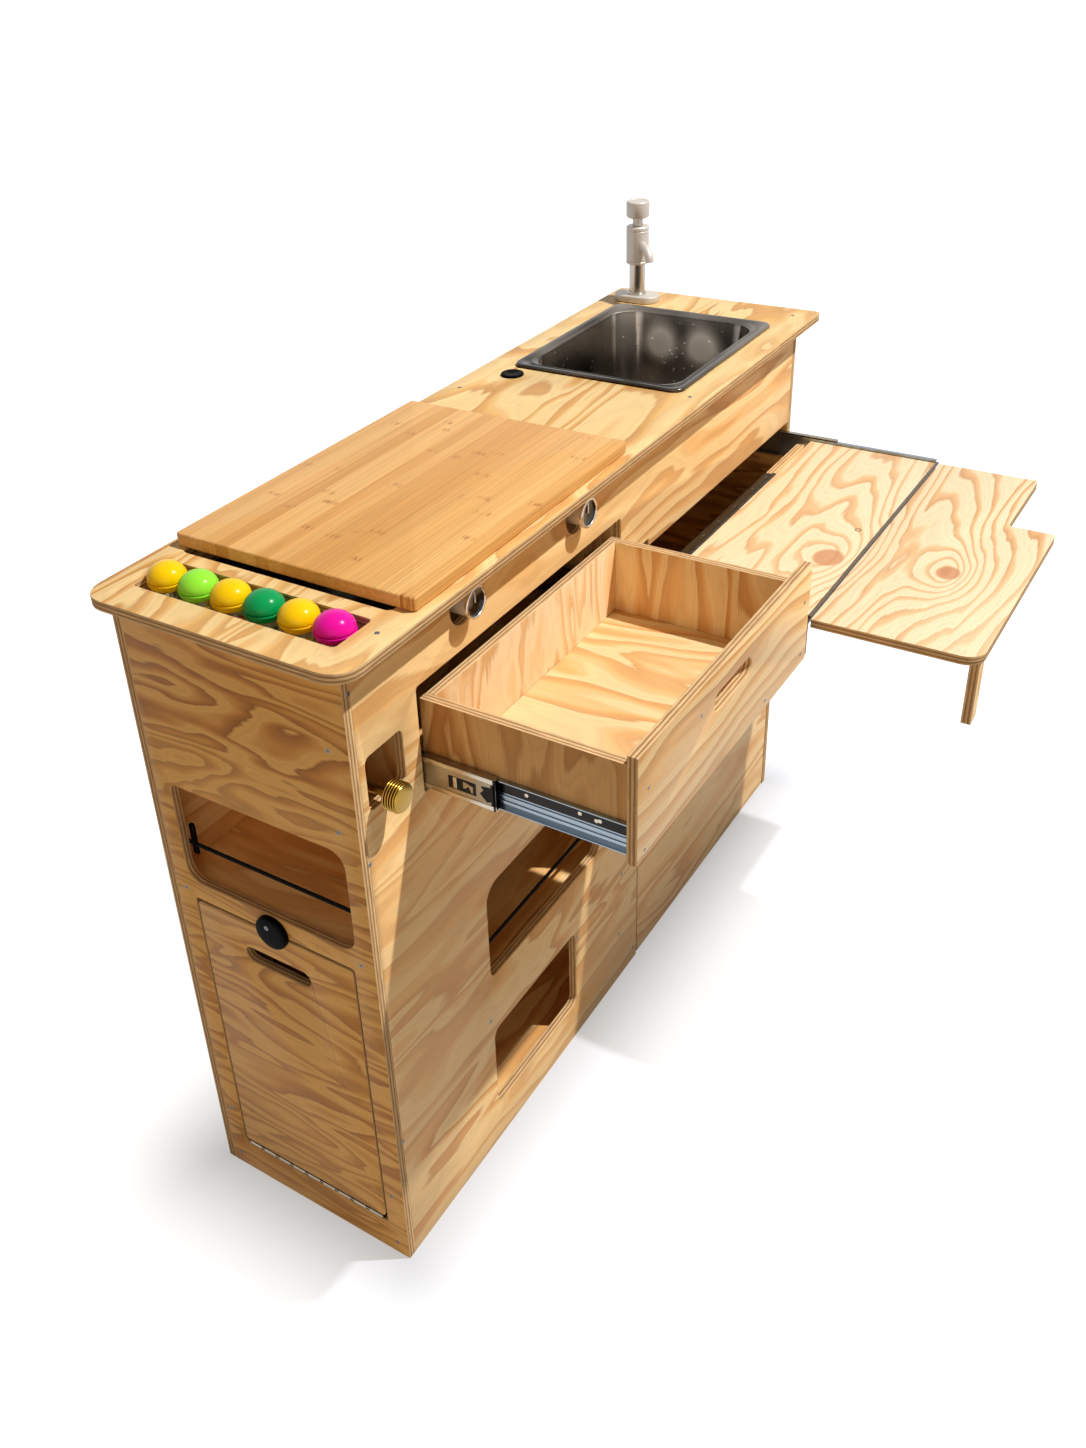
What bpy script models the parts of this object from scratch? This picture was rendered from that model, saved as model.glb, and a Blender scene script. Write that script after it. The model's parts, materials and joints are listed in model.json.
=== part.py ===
# Campervan kitchen pod: a narrow plywood cabinet with a worktop, a hob under its board, a sink
# with a hand pump, a drawer and a pull-out folding table.
# Metres, +Z up. X runs along the cabinet and the front faces -Y. Places in the tables are
# stations from the near front bottom corner; the origin is the centre of the underside.
import math

import bmesh
import bpy
from mathutils import Matrix, Vector

# Carcass
DEPTH = 0.309
HEIGHT = 0.900
PLY = 0.012
GAP = 0.0003
NEAR_BAY = 0.103
DRAWER_WIDTH = 0.454
TABLE_BAY = 0.5647
END_BAY = 0.205
CUBBY_SHELF_Z = 0.250
DRAWER_TOP_DROP = 0.097
DRAWER_HEIGHT = 0.136
HOB_SEAT_DROP = 0.030

# Worktop
OVERHANG = 0.027
BACK_OVERHANG = 0.013
WORKTOP_NEAR_CORNER = 0.030
WORKTOP_FAR_CORNER = 0.010
SPICE_SET = 0.0035
SPICE_BACK_SET = 0.0095
SPICE_SIDE_SPACE = 0.017
SLOT_CORNER = 0.006
HOB_CUT_SET = 0.005
HOB_CUT_FAR_LAP = 0.021
HOB_CUT_FRONT_SET = 0.0025
HOB_CUT_BACK_SET = 0.002
HOB_CUT_CORNER = 0.008

# Spice tray and jars
TRAY_WALL = 0.003
TRAY_LAP = 0.0025
JARS = 6
JAR_SPACE = 0.00085
LID_LIP = 0.0017
JAR_LIFT = 0.0003
LID_SKIRT = 0.014
LID_EDGE_RISE = 0.002
LID_TOP_RISE = 0.018
LID_GROOVE = 0.001

# Hob and its two knobs
HOB_PLAY = 0.0005
HOB_FRONT_PLAY = 0.0022
HOB_BACK_PLAY = 0.0017
HOB_SHEET = 0.0015
HOB_WELL_DEPTH = 0.020
HOB_SIDE_LAP = 0.0145
HOB_FRONT_LAP = 0.009
HOB_WELL_CORNER = 0.012
BURNER_RADIUS = 0.035
BURNER_CUP_RADIUS = 0.042
BURNER_CUP_RISE = 0.006
BURNER_RISE = 0.018
BURNER_CAP_RISE = 0.022
BURNER_CAP_RADIUS = 0.030
FIN_REACH = 0.066
FIN_THICK = 0.004
FIN_CLEAR = 0.008
KNOB_SET_NEAR = 0.094
KNOB_SET_FAR = 0.1145
KNOB_DROP = 0.038
KNOB_RADIUS = 0.0165
KNOB_RING_RADIUS = 0.0188
KNOB_RING_LENGTH = 0.004
KNOB_RIM = 0.003
KNOB_DISH = 0.003
KNOB_STAND_OUT = 0.0185
KNOB_BODY_LENGTH = 0.031
KNOB_SHAFT_RADIUS = 0.004
KNOB_SHAFT_LENGTH = 0.006
VALVE_RADIUS = 0.0078
VALVE_LENGTH = 0.022
NOTCH_RADIUS = 0.025
NOTCH_DROP = 0.005

# Chopping board
BOARD_THICK = 0.016
BOARD_FINGER_GAP = 0.008
BOARD_FAR_LAP = 0.008
BOARD_FRONT_LAP = 0.015
BOARD_EDGE = 0.0015

# Sink, grommet and tap
SINK_FAR_SET = 0.0677
SINK_LENGTH = 0.325
SINK_FRONT_SET = 0.014
SINK_BACK_SET = 0.029
SINK_RIM_CORNER = 0.016
SINK_RIM_RISE = 0.005
SINK_FLANGE = 0.017
SINK_CUT_LAP = 0.014
SINK_CUT_CORNER = 0.020
SINK_SHEET = 0.001
SINK_DEPTH = 0.148
SINK_DRAFT = 0.008
SINK_CORNER = 0.040
SINK_FLOOR_RADIUS = 0.018
DRAIN_RADIUS = 0.018
DRAIN_LENGTH = 0.030
GROMMET_SET = 0.029
GROMMET_BACK_SET = 0.047
GROMMET_HOLE_RADIUS = 0.0135
GROMMET_LIP = 0.003
GROMMET_CLEAR = 0.0005
TAP_FAR_SET = 0.029
TAP_BACK_SET = 0.0443
TAP_PLATE_WIDTH = 0.042
TAP_PLATE_LENGTH = 0.076
TAP_PLATE_RISE = 0.011
TAP_COLUMN_RADIUS = 0.0127
TAP_COLUMN_RISE = 0.0495
TAP_PIN_RISE = 0.0225
SLEEVE_RADIUS = 0.0178
SLEEVE_RISE = 0.059
SLEEVE_WALL = 0.0096
SLEEVE_CLEAR = 0.0004
ROD_OVERLAP = 0.026
ROD_STAND_OUT = 0.013
PUMP_KNOB_RADIUS = 0.018
PUMP_KNOB_HEIGHT = 0.0256
PUMP_KNOB_EDGE = 0.002
SPOUT_RADIUS = 0.0058
SPOUT_RISE = 0.030
SPOUT_REACH = 0.041
SPOUT_DROP = 0.020
SPOUT_TURN = math.radians(235)

# Drawer
DRAWER_CORNER = 0.0045
DRAWER_FRONT_CLEAR = 0.002
DRAWER_SIDE_DROP = 0.022
DRAWER_SIDE_LIFT = 0.007
DRAWER_FLOOR = 0.006
DRAWER_FLOOR_LIFT = 0.003
DRAWER_STOP = 0.0055
DRAWER_SLOT_LENGTH = 0.098
DRAWER_SLOT_HEIGHT = 0.024
DRAWER_SLOT_DROP = 0.043
RUNNER_SPARE = 0.0344
DRAWER_RUNNER_LIFT = 0.0275

# One runner: its depth, sheet, outer half height, flanges and lengths
RUNNER_THICK = 0.0127
RUNNER_SHEET = 0.0012
OUTER_HALF = 0.0225
OUTER_FLANGE = 0.0090
RACE_CLEAR = 0.0008
MIDDLE_START = 0.0022
MIDDLE_FLANGE = 0.0100
INNER_FLANGE = 0.0062
MIDDLE_SHORTER = 0.025

# Pull-out table
TABLE_TOP_DROP = 0.1925
TABLE_SLOT_BELOW = 0.0655
TABLE_SLOT_ABOVE = 0.0195
TABLE_SLOT_SET = 0.0015
TABLE_RAIL_BELOW = 0.0335
TABLE_RUNNER_DROP = 0.015
TABLE_STOP = 0.0035
TABLE_SIDE_PLAY = 0.0013
TABLE_FRONT_SET = 0.003
CHEEK_HEIGHT = 0.045
CHEEK_BACK_SET = 0.0285
RAIL_FRONT_SET = 0.0395
RAIL_HINGE_SET = 0.0425
RAIL_HINGE_DROP = 0.002
RAIL_HINGE_RADIUS = 0.003
RAIL_HINGE_NEAR_SET = 0.0184
RAIL_HINGE_FAR_SET = 0.142
PANEL_INNER_SET = 0.046
HINGE_SHEET = 0.0012
LEAF_HINGE_LIFT = 0.001
LEAF_HINGE_RADIUS = 0.0025
LEAF_DEPTH = 0.2055
LEAF_NOTCH_WIDTH = 0.168
LEAF_NOTCH_DEPTH = 0.062
LEAF_CORNER = 0.024
LEAF_SMALL_CORNER = 0.006
LEAF_HINGE_IN = 0.002
LEG_SET = 0.0235
LEG_WIDTH = 0.024
LEG_THICK = 0.012
LEG_LENGTH = 0.0938
LEG_ROUND = 0.0057
LEG_CLEAR = 0.0007
LEG_EDGE_SET = 0.005
RELIEF_SIDE = 0.006
RELIEF_RISE = 0.011

# Front panel windows and front door
CUBBY_SET = 0.001
UPPER_CUBBY_FAR_SET = 0.059
UPPER_CUBBY_SILL = 0.038
UPPER_CUBBY_HEIGHT = 0.1495
UPPER_CUBBY_CORNERS = (0.012, 0.018, 0.018, 0.026)
LOWER_CUBBY_FAR_SET = 0.134
LOWER_CUBBY_SILL = 0.053
LOWER_CUBBY_HEIGHT = 0.140
LOWER_CUBBY_CORNER = 0.014
BRASS_WINDOW_SET = 0.010
BRASS_WINDOW_WIDTH = 0.064
BRASS_WINDOW_LIFT = 0.0364
BRASS_WINDOW_HEIGHT = 0.067
BRASS_WINDOW_CORNER = 0.008
DOOR_SEAT_SET = 0.046
FRONT_DOOR_PLAY = 0.0025
FRONT_DOOR_FOOT = 0.003
FRONT_SLOT_SET = 0.070
FRONT_SLOT_DROP = 0.035
FRONT_SLOT_LENGTH = 0.090
FRONT_SLOT_HEIGHT = 0.022
FRONT_DOOR_AXIS_PLAY = 0.0013

# Near end: window, drop door and its turn button
WINDOW_FRONT_SET = 0.024
WINDOW_BACK_SET = 0.0345
WINDOW_SILL = 0.004
WINDOW_HEIGHT = 0.1405
WINDOW_CORNER = 0.022
WINDOW_SMALL_CORNER = 0.010
DOOR_FRONT_SET = 0.032
DOOR_BACK_SET = 0.042
DOOR_SILL = 0.060
DOOR_TOP_DROP = 0.0135
DOOR_SIDE_PLAY = 0.0025
DOOR_TOP_PLAY = 0.004
DOOR_CORNER = 0.005
DOOR_SLOT_DROP = 0.0503
DOOR_SLOT_LENGTH = 0.100
DOOR_SLOT_HEIGHT = 0.023
DOOR_HINGE_RADIUS = 0.00275
DOOR_HINGE_SET = 0.0035
DOOR_HINGE_PROUD = 0.0005
DOOR_HINGE_IN = 0.004
DOOR_HINGE_LEAF = 0.011
BUTTON_RISE = 0.0115
BUTTON_DROP = 0.008
BUTTON_SIDE = 0.0036
BUTTON_RADIUS = 0.0225
BUTTON_THICK = 0.008
BUTTON_EDGE = 0.0015

# Ribbed brass knob and cords
BRASS_SIDE = 0.0204
BRASS_RISE = 0.016
BRASS_RADIUS = 0.0170
BRASS_LENGTH = 0.018
BRASS_CLEAR = 0.012
BRASS_RIBS = 5
BRASS_RIB_DEPTH = 0.0015
SPINDLE_RADIUS = 0.0055
SPINDLE_FOOT_RADIUS = 0.012
SPINDLE_FOOT_LENGTH = 0.006
CORD_RADIUS = 0.0025
CORD_OVERLAP = 0.006
END_CORD_RISE = 0.0455
FRONT_CORD_RISE = 0.040

SIDES = 32
CORNER_STEPS = 5
BOWL_STEPS = 8
MERGE = 0.00001

# Each look's colour, roughness and metallic value
LOOKS = {
    "ply": ((0.80, 0.60, 0.36), 0.55, 0.0),
    "bamboo": ((0.74, 0.50, 0.25), 0.45, 0.0),
    "steel": ((0.60, 0.60, 0.60), 0.25, 1.0),
    "zinc": ((0.55, 0.57, 0.60), 0.35, 1.0),
    "chrome": ((0.75, 0.75, 0.76), 0.15, 1.0),
    "brass": ((0.72, 0.50, 0.16), 0.28, 1.0),
    "black_plastic": ((0.02, 0.02, 0.02), 0.40, 0.0),
    "cord": ((0.02, 0.02, 0.02), 0.80, 0.0),
    "lid_yellow": ((0.90, 0.52, 0.02), 0.25, 0.0),
    "lid_lime": ((0.32, 0.74, 0.10), 0.25, 0.0),
    "lid_green": ((0.01, 0.30, 0.14), 0.25, 0.0),
    "lid_magenta": ((0.62, 0.01, 0.42), 0.25, 0.0),
}
LID_LOOKS = ["lid_magenta", "lid_yellow", "lid_green", "lid_yellow", "lid_lime", "lid_yellow"]

# Stations that more than one piece shares
near_in = PLY + GAP
front_in = PLY + GAP
back_in = DEPTH - PLY - GAP
panel_top = HEIGHT - PLY - GAP
worktop_under = HEIGHT - PLY
drawer_near = NEAR_BAY + PLY
drawer_far = drawer_near + DRAWER_WIDTH
table_near = drawer_far + PLY
table_far = table_near + TABLE_BAY
far_in = table_far - GAP
length = table_far + PLY
opening_top = HEIGHT - DRAWER_TOP_DROP
opening_foot = opening_top - DRAWER_HEIGHT
shelf_under = opening_foot - PLY
end_shelf = shelf_under - WINDOW_HEIGHT - WINDOW_SILL - PLY
hob_seat = HEIGHT - HOB_SEAT_DROP
table_top = HEIGHT - TABLE_TOP_DROP
slot_foot = table_top - TABLE_SLOT_BELOW
slot_top = table_top + TABLE_SLOT_ABOVE
door_head = slot_foot - TABLE_RAIL_BELOW
door_post = drawer_far + DOOR_SEAT_SET + PLY
runner_length = back_in - front_in - RUNNER_SPARE
drawer_travel = runner_length + DRAWER_STOP
table_travel = runner_length - TABLE_STOP
rest_top = HEIGHT + GAP

QUARTER = math.pi / 2
TURNS = {"X": (QUARTER, 0, QUARTER), "Y": (QUARTER, 0, 0), "Z": (0, 0, 0)}

for old in list(bpy.data.objects):
    bpy.data.objects.remove(old, do_unlink=True)

parts = bpy.data.collections.new("kitchen_pod")
tools = bpy.data.collections.new("shaping_tools")
bpy.context.scene.collection.children.link(parts)
bpy.context.scene.collection.children.link(tools)
corner = Vector((-length / 2, -DEPTH / 2, 0))


def material(look):
    """One material for each look."""
    made = bpy.data.materials.get(look)
    if made:
        return made
    colour, roughness, metallic = LOOKS[look]
    made = bpy.data.materials.new(look)
    made.use_nodes = True
    shader = made.node_tree.nodes["Principled BSDF"]
    shader.inputs["Base Color"].default_value = (*colour, 1)
    shader.inputs["Roughness"].default_value = roughness
    shader.inputs["Metallic"].default_value = metallic
    return made


def pivot(name, station):
    """An empty on a joint's axis, which carries the pieces that move with it."""
    made = bpy.data.objects.new(name, None)
    made.location = corner + Vector(station)
    parts.objects.link(made)
    return made


def place(made, look, station, turn, body):
    """Puts an object at its station, carried by its body's empty."""
    made.data.materials.append(material(look))
    parts.objects.link(made)
    made.parent = body
    made.location = corner + Vector(station) - body.location
    made.rotation_euler = turn
    return made


def eased(corners, radii):
    """An outline with its corners rounded, each by its own radius; zero stays sharp."""
    points = []
    for i, (corner_at, radius) in enumerate(zip(corners, radii)):
        here = Vector(corner_at)
        if radius == 0:
            points.append(tuple(here))
            continue
        back = (Vector(corners[i - 1]) - here).normalized()
        ahead = (Vector(corners[(i + 1) % len(corners)]) - here).normalized()
        half = back.angle(ahead) / 2
        centre = here + (back + ahead).normalized() * radius / math.sin(half)
        start = here + back * radius / math.tan(half) - centre
        finish = here + ahead * radius / math.tan(half) - centre
        sweep = math.pi - half - half
        side = math.copysign(1, start.x * finish.y - start.y * finish.x)
        for k in range(CORNER_STEPS + 1):
            turn = Matrix.Rotation(side * sweep * k / CORNER_STEPS, 2)
            points.append(tuple(centre + turn @ start))
    return points


def rounded(across, up, radius):
    """A rounded rectangle, listed from its low corner; radius may be one for each corner."""
    corners = [(across[0], up[0]), (across[1], up[0]), (across[1], up[1]), (across[0], up[1])]
    return eased(corners, radius if isinstance(radius, tuple) else [radius for at in corners])


def slot(centre, length, height):
    """A finger slot with round ends."""
    across = (centre[0] - length / 2, centre[0] + length / 2)
    up = (centre[1] - height / 2, centre[1] + height / 2)
    return rounded(across, up, height / 2 - GAP)


def circle(centre, radius):
    """A round hole."""
    turns = [math.tau * k / SIDES for k in range(SIDES)]
    return [(centre[0] + radius * math.cos(t), centre[1] + radius * math.sin(t)) for t in turns]


def station(normal, a, b, along):
    """The station of outline point (a, b) at a place along the normal."""
    if normal == "X":
        return (along, a, b)
    if normal == "Y":
        return (a, along, b)
    return (a, b, along)


def board(name, look, normal, span, outline, holes, body):
    """A flat piece: its outline and holes as a filled 2D curve, as thick as its span."""
    curve = bpy.data.curves.new(name, "CURVE")
    curve.dimensions = "2D"
    curve.fill_mode = "BOTH"
    curve.extrude = (span[1] - span[0]) / 2
    for loop in [outline, *holes]:
        spline = curve.splines.new("POLY")
        spline.points.add(len(loop) - 1)
        for point, (a, b) in zip(spline.points, loop):
            point.co = (a, b, 0, 1)
        spline.use_cyclic_u = True
    made = bpy.data.objects.new(name, curve)
    middle = station(normal, 0, 0, (span[0] + span[1]) / 2)
    return place(made, look, middle, TURNS[normal], body)


def block(name, look, xs, ys, zs, body, edge=0):
    """A plain rectangular piece, its edges eased by edge."""
    size = (xs[1] - xs[0], ys[1] - ys[0], zs[1] - zs[0])
    mesh = bpy.data.meshes.new(name)
    work = bmesh.new()
    bmesh.ops.create_cube(work, size=1, matrix=Matrix.Diagonal((*size, 1)))
    work.to_mesh(mesh)
    work.free()
    made = bpy.data.objects.new(name, mesh)
    if edge:
        bevel = made.modifiers.new("eased", "BEVEL")
        bevel.width = edge
        bevel.segments = 2
    centre = ((xs[0] + xs[1]) / 2, (ys[0] + ys[1]) / 2, (zs[0] + zs[1]) / 2)
    return place(made, look, centre, (0, 0, 0), body)


def turned(name, look, axis, centre, profile, body, closed=False):
    """A turned piece: profile is (radius, height) from the top down its outer side."""
    mesh = bpy.data.meshes.new(name)
    edges = [(i, i + 1) for i in range(len(profile) - 1)]
    if closed:
        edges.append((len(profile) - 1, 0))
    mesh.from_pydata([(radius, 0, height) for radius, height in profile], edges, [])
    made = bpy.data.objects.new(name, mesh)
    screw = made.modifiers.new("turn", "SCREW")
    screw.steps = SIDES
    screw.render_steps = SIDES
    screw.use_merge_vertices = True
    screw.merge_threshold = MERGE
    return place(made, look, centre, TURNS[axis], body)


def as_tool(made):
    """Turns an object into a hidden shaping tool."""
    for home in list(made.users_collection):
        home.objects.unlink(made)
    tools.objects.link(made)
    made.hide_render = True
    made.display_type = "WIRE"
    return made


def fuse(target, others):
    """Fuses solids into the target with Boolean unions."""
    for other in others:
        union = target.modifiers.new("fused", "BOOLEAN")
        union.operation = "UNION"
        union.solver = "EXACT"
        union.object = as_tool(other)


def welded(curve_object):
    """Replaces a curve object by a mesh object with its caps welded on."""
    graph = bpy.context.evaluated_depsgraph_get()
    mesh = bpy.data.meshes.new_from_object(curve_object.evaluated_get(graph))
    work = bmesh.new()
    work.from_mesh(mesh)
    bmesh.ops.remove_doubles(work, verts=work.verts, dist=MERGE)
    work.to_mesh(mesh)
    work.free()
    name = curve_object.name
    curve_object.name = name + "_curve"
    made = bpy.data.objects.new(name, mesh)
    parts.objects.link(made)
    made.parent = curve_object.parent
    made.location = curve_object.location
    made.rotation_euler = curve_object.rotation_euler
    bpy.data.objects.remove(curve_object, do_unlink=True)
    return made


def tube(name, look, points, radius, body):
    """A round tube through stations."""
    curve = bpy.data.curves.new(name, "CURVE")
    curve.dimensions = "3D"
    curve.bevel_depth = radius
    curve.bevel_resolution = 2
    curve.use_fill_caps = True
    spline = curve.splines.new("POLY")
    spline.points.add(len(points) - 1)
    for point, at in zip(spline.points, points):
        point.co = (*at, 1)
    made = bpy.data.objects.new(name, curve)
    return place(made, look, (0, 0, 0), (0, 0, 0), body)


def shell(name, look, loops, thickness, body, floor=False):
    """A pressed sheet: loops of equal count skinned from the rim inwards, then thickened."""
    count = len(loops[0])
    verts = [Vector(p) for loop in loops for p in loop]
    faces = []
    for i in range(len(loops) - 1):
        for k in range(count):
            n = (k + 1) % count
            faces.append((i * count + k, i * count + n, (i + 1) * count + n, (i + 1) * count + k))
    if floor:
        faces.append(tuple((len(loops) - 1) * count + k for k in range(count)))
    mesh = bpy.data.meshes.new(name)
    mesh.from_pydata(verts, [], faces)
    made = bpy.data.objects.new(name, mesh)
    skin = made.modifiers.new("sheet", "SOLIDIFY")
    skin.thickness = thickness
    skin.offset = -1
    skin.use_even_offset = True
    return place(made, look, (0, 0, 0), (0, 0, 0), body)


carcass = pivot("carcass_origin", (length / 2, DEPTH / 2, 0))
depth_in = (front_in, back_in)


def make_carcass():
    """Base, back, two end panels, partitions and shelves."""
    block("base_panel", "ply", (near_in, far_in), depth_in, (0, PLY), carcass)
    back = rounded((0, length), (0, panel_top), 0)
    board("back_panel", "ply", "Y", (DEPTH - PLY, DEPTH), back, [], carcass)
    far = rounded((0, back_in), (0, panel_top), 0)
    board("end_panel_far", "ply", "X", (table_far, length), far, [], carcass)
    upper = (NEAR_BAY, drawer_near)
    block("partition_top", "ply", upper, depth_in, (opening_foot + GAP, hob_seat), carcass)
    lower = (END_BAY, END_BAY + PLY)
    block("partition_low", "ply", lower, depth_in, (PLY + GAP, shelf_under - GAP), carcass)
    middle = (drawer_far, table_near)
    block("partition_mid", "ply", middle, depth_in, (PLY + GAP, hob_seat), carcass)
    under = (near_in, drawer_far - GAP)
    block("shelf_drawer", "ply", under, depth_in, (shelf_under, opening_foot), carcass)
    end = (near_in, END_BAY - GAP)
    block("shelf_end", "ply", end, depth_in, (end_shelf, end_shelf + PLY), carcass)
    cubby = (END_BAY + PLY + GAP, drawer_far - GAP)
    block("shelf_cubby", "ply", cubby, depth_in, (CUBBY_SHELF_Z, CUBBY_SHELF_Z + PLY), carcass)


table_slot_near = table_near + TABLE_SLOT_SET
knob_places = [drawer_near + KNOB_SET_NEAR, drawer_far - KNOB_SET_FAR]
knob_z = HEIGHT - KNOB_DROP
cubby_x = END_BAY + PLY + CUBBY_SET
cubby_sill = CUBBY_SHELF_Z + PLY + UPPER_CUBBY_SILL
brass_window_x = near_in + BRASS_WINDOW_SET
brass_window_z = opening_foot + BRASS_WINDOW_LIFT
carriage_near = table_near + RUNNER_THICK + GAP + GAP
carriage_far = table_far - RUNNER_THICK - GAP - GAP
panel_x = (carriage_near + TABLE_SIDE_PLAY, carriage_far - TABLE_SIDE_PLAY)
leg_x = (panel_x[0] + LEG_SET, panel_x[0] + LEG_SET + LEG_WIDTH)


def knob_notch(x):
    """The open-topped notch round one hob knob, from its far side to its near side."""
    centre = knob_z - NOTCH_DROP
    steps = CORNER_STEPS + CORNER_STEPS
    turns = [-math.pi * k / steps for k in range(steps + 1)]
    arc = [(x + NOTCH_RADIUS * math.cos(t), centre + NOTCH_RADIUS * math.sin(t)) for t in turns]
    return [(x + NOTCH_RADIUS, panel_top), *arc, (x - NOTCH_RADIUS, panel_top)]


def make_front_panel():
    """The front: doorway and table slot open to the far end, notches, drawer hole, windows."""
    relief = (leg_x[0] - RELIEF_SIDE, leg_x[1] + RELIEF_SIDE)
    outline = [
        (near_in, 0),
        (door_post, 0),
        (door_post, door_head),
        (far_in, door_head),
        (far_in, slot_foot),
        (table_slot_near, slot_foot),
        (table_slot_near, slot_top),
        (relief[0], slot_top),
        (relief[0], slot_top + RELIEF_RISE),
        (relief[1], slot_top + RELIEF_RISE),
        (relief[1], slot_top),
        (far_in, slot_top),
        (far_in, panel_top),
        *knob_notch(knob_places[1]),
        *knob_notch(knob_places[0]),
        (near_in, panel_top),
    ]
    opening = rounded((drawer_near, drawer_far), (opening_foot, opening_top), DRAWER_CORNER)
    brass_x = (brass_window_x, brass_window_x + BRASS_WINDOW_WIDTH)
    brass_z = (brass_window_z, brass_window_z + BRASS_WINDOW_HEIGHT)
    upper_x = (cubby_x, drawer_far - UPPER_CUBBY_FAR_SET)
    upper_z = (cubby_sill, cubby_sill + UPPER_CUBBY_HEIGHT)
    lower_x = (cubby_x, drawer_far - LOWER_CUBBY_FAR_SET)
    lower_z = (PLY + LOWER_CUBBY_SILL, PLY + LOWER_CUBBY_SILL + LOWER_CUBBY_HEIGHT)
    holes = [
        opening,
        rounded(brass_x, brass_z, BRASS_WINDOW_CORNER),
        rounded(upper_x, upper_z, UPPER_CUBBY_CORNERS),
        rounded(lower_x, lower_z, LOWER_CUBBY_CORNER),
    ]
    board("front_panel", "ply", "Y", (0, PLY), outline, holes, carcass)
    cord_y = front_in + CORD_RADIUS
    cord_z = cubby_sill + FRONT_CORD_RISE
    ends = (cubby_x, upper_x[1] + CORD_OVERLAP)
    points = [(x, cord_y, cord_z) for x in ends]
    tube("bungee_front", "cord", points, CORD_RADIUS, carcass)


window_y = (WINDOW_FRONT_SET, DEPTH - WINDOW_BACK_SET)
window_z = (shelf_under - WINDOW_HEIGHT, shelf_under)
door_y = (DOOR_FRONT_SET, DEPTH - DOOR_BACK_SET)
door_z = (DOOR_SILL, end_shelf - DOOR_TOP_DROP)
hinge_z = DOOR_SILL - DOOR_HINGE_SET
doorway_z = (hinge_z - DOOR_HINGE_SET, door_z[1] + DOOR_TOP_PLAY)
door_middle = (door_y[0] + door_y[1]) / 2


def hinge_section(radius, low, high, reach):
    """A piano hinge's section: a round barrel, and a leaf along +a between low and high."""
    start = math.asin(high / radius)
    finish = math.tau + math.asin(max(low / radius, -1))
    turns = [start + (finish - start) * k / SIDES for k in range(SIDES + 1)]
    points = [(radius * math.cos(t), radius * math.sin(t)) for t in turns]
    if low < -radius:
        points.append((0, low))
    return [*points, (reach, low), (reach, high)]


def make_near_end():
    """The near end panel with its window and doorway, the cord behind it and the door hinge."""
    sides = (door_y[0] - DOOR_SIDE_PLAY, door_y[1] + DOOR_SIDE_PLAY)
    corners = (WINDOW_CORNER, WINDOW_CORNER, WINDOW_SMALL_CORNER, WINDOW_CORNER)
    holes = [rounded(window_y, window_z, corners), rounded(sides, doorway_z, DOOR_CORNER)]
    outline = rounded((0, back_in), (0, panel_top), 0)
    board("end_panel_near", "ply", "X", (0, PLY), outline, holes, carcass)
    ends = (window_y[0] - CORD_OVERLAP, window_y[1] + CORD_OVERLAP)
    points = [(near_in + CORD_RADIUS, y, window_z[0] + END_CORD_RISE) for y in ends]
    tube("bungee_end", "cord", points, CORD_RADIUS, carcass)
    low = doorway_z[0] + GAP - hinge_z
    section = hinge_section(DOOR_HINGE_RADIUS, low, low + HINGE_SHEET, DOOR_HINGE_LEAF)
    outline = [(DOOR_HINGE_PROUD + a, hinge_z + b) for a, b in section]
    span = (door_y[0] + DOOR_HINGE_IN, door_y[1] - DOOR_HINGE_IN)
    board("door_hinge", "zinc", "Y", span, outline, [], carcass)


def make_end_door():
    """The drop door with its finger slot, and the black button that turns over its edge."""
    drop = pivot("end_door_axis", (DOOR_HINGE_PROUD, door_middle, hinge_z))
    hole = slot((door_middle, door_z[1] - DOOR_SLOT_DROP), DOOR_SLOT_LENGTH, DOOR_SLOT_HEIGHT)
    outline = rounded(door_y, door_z, DOOR_CORNER)
    board("end_door", "ply", "X", (0, PLY), outline, [hole], drop)
    button_z = doorway_z[1] + BUTTON_RISE
    turn = pivot("turn_button_axis", (0, door_middle, button_z))
    inner = BUTTON_RADIUS - BUTTON_EDGE
    profile = [
        (0, -GAP),
        (inner, -GAP),
        (BUTTON_RADIUS, -GAP - BUTTON_EDGE),
        (BUTTON_RADIUS, BUTTON_EDGE - BUTTON_THICK),
        (inner, -BUTTON_THICK),
        (0, -BUTTON_THICK),
    ]
    centre = (0, door_middle - BUTTON_SIDE, button_z - BUTTON_DROP)
    turned("turn_button", "black_plastic", "X", centre, profile, turn)


def make_front_door():
    """The storage door below the table, hinged at its far edge, with a finger slot."""
    far = table_far - FRONT_DOOR_AXIS_PLAY
    swing = pivot("front_door_axis", (far, 0, door_head / 2))
    near = door_post + FRONT_DOOR_PLAY
    across = (near, far - FRONT_DOOR_AXIS_PLAY)
    outline = rounded(across, (FRONT_DOOR_FOOT, door_head - FRONT_DOOR_PLAY), 0)
    centre = (near + FRONT_SLOT_SET, door_head - FRONT_SLOT_DROP)
    hole = slot(centre, FRONT_SLOT_LENGTH, FRONT_SLOT_HEIGHT)
    board("front_door", "ply", "Y", (0, PLY), outline, [hole], swing)


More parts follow.
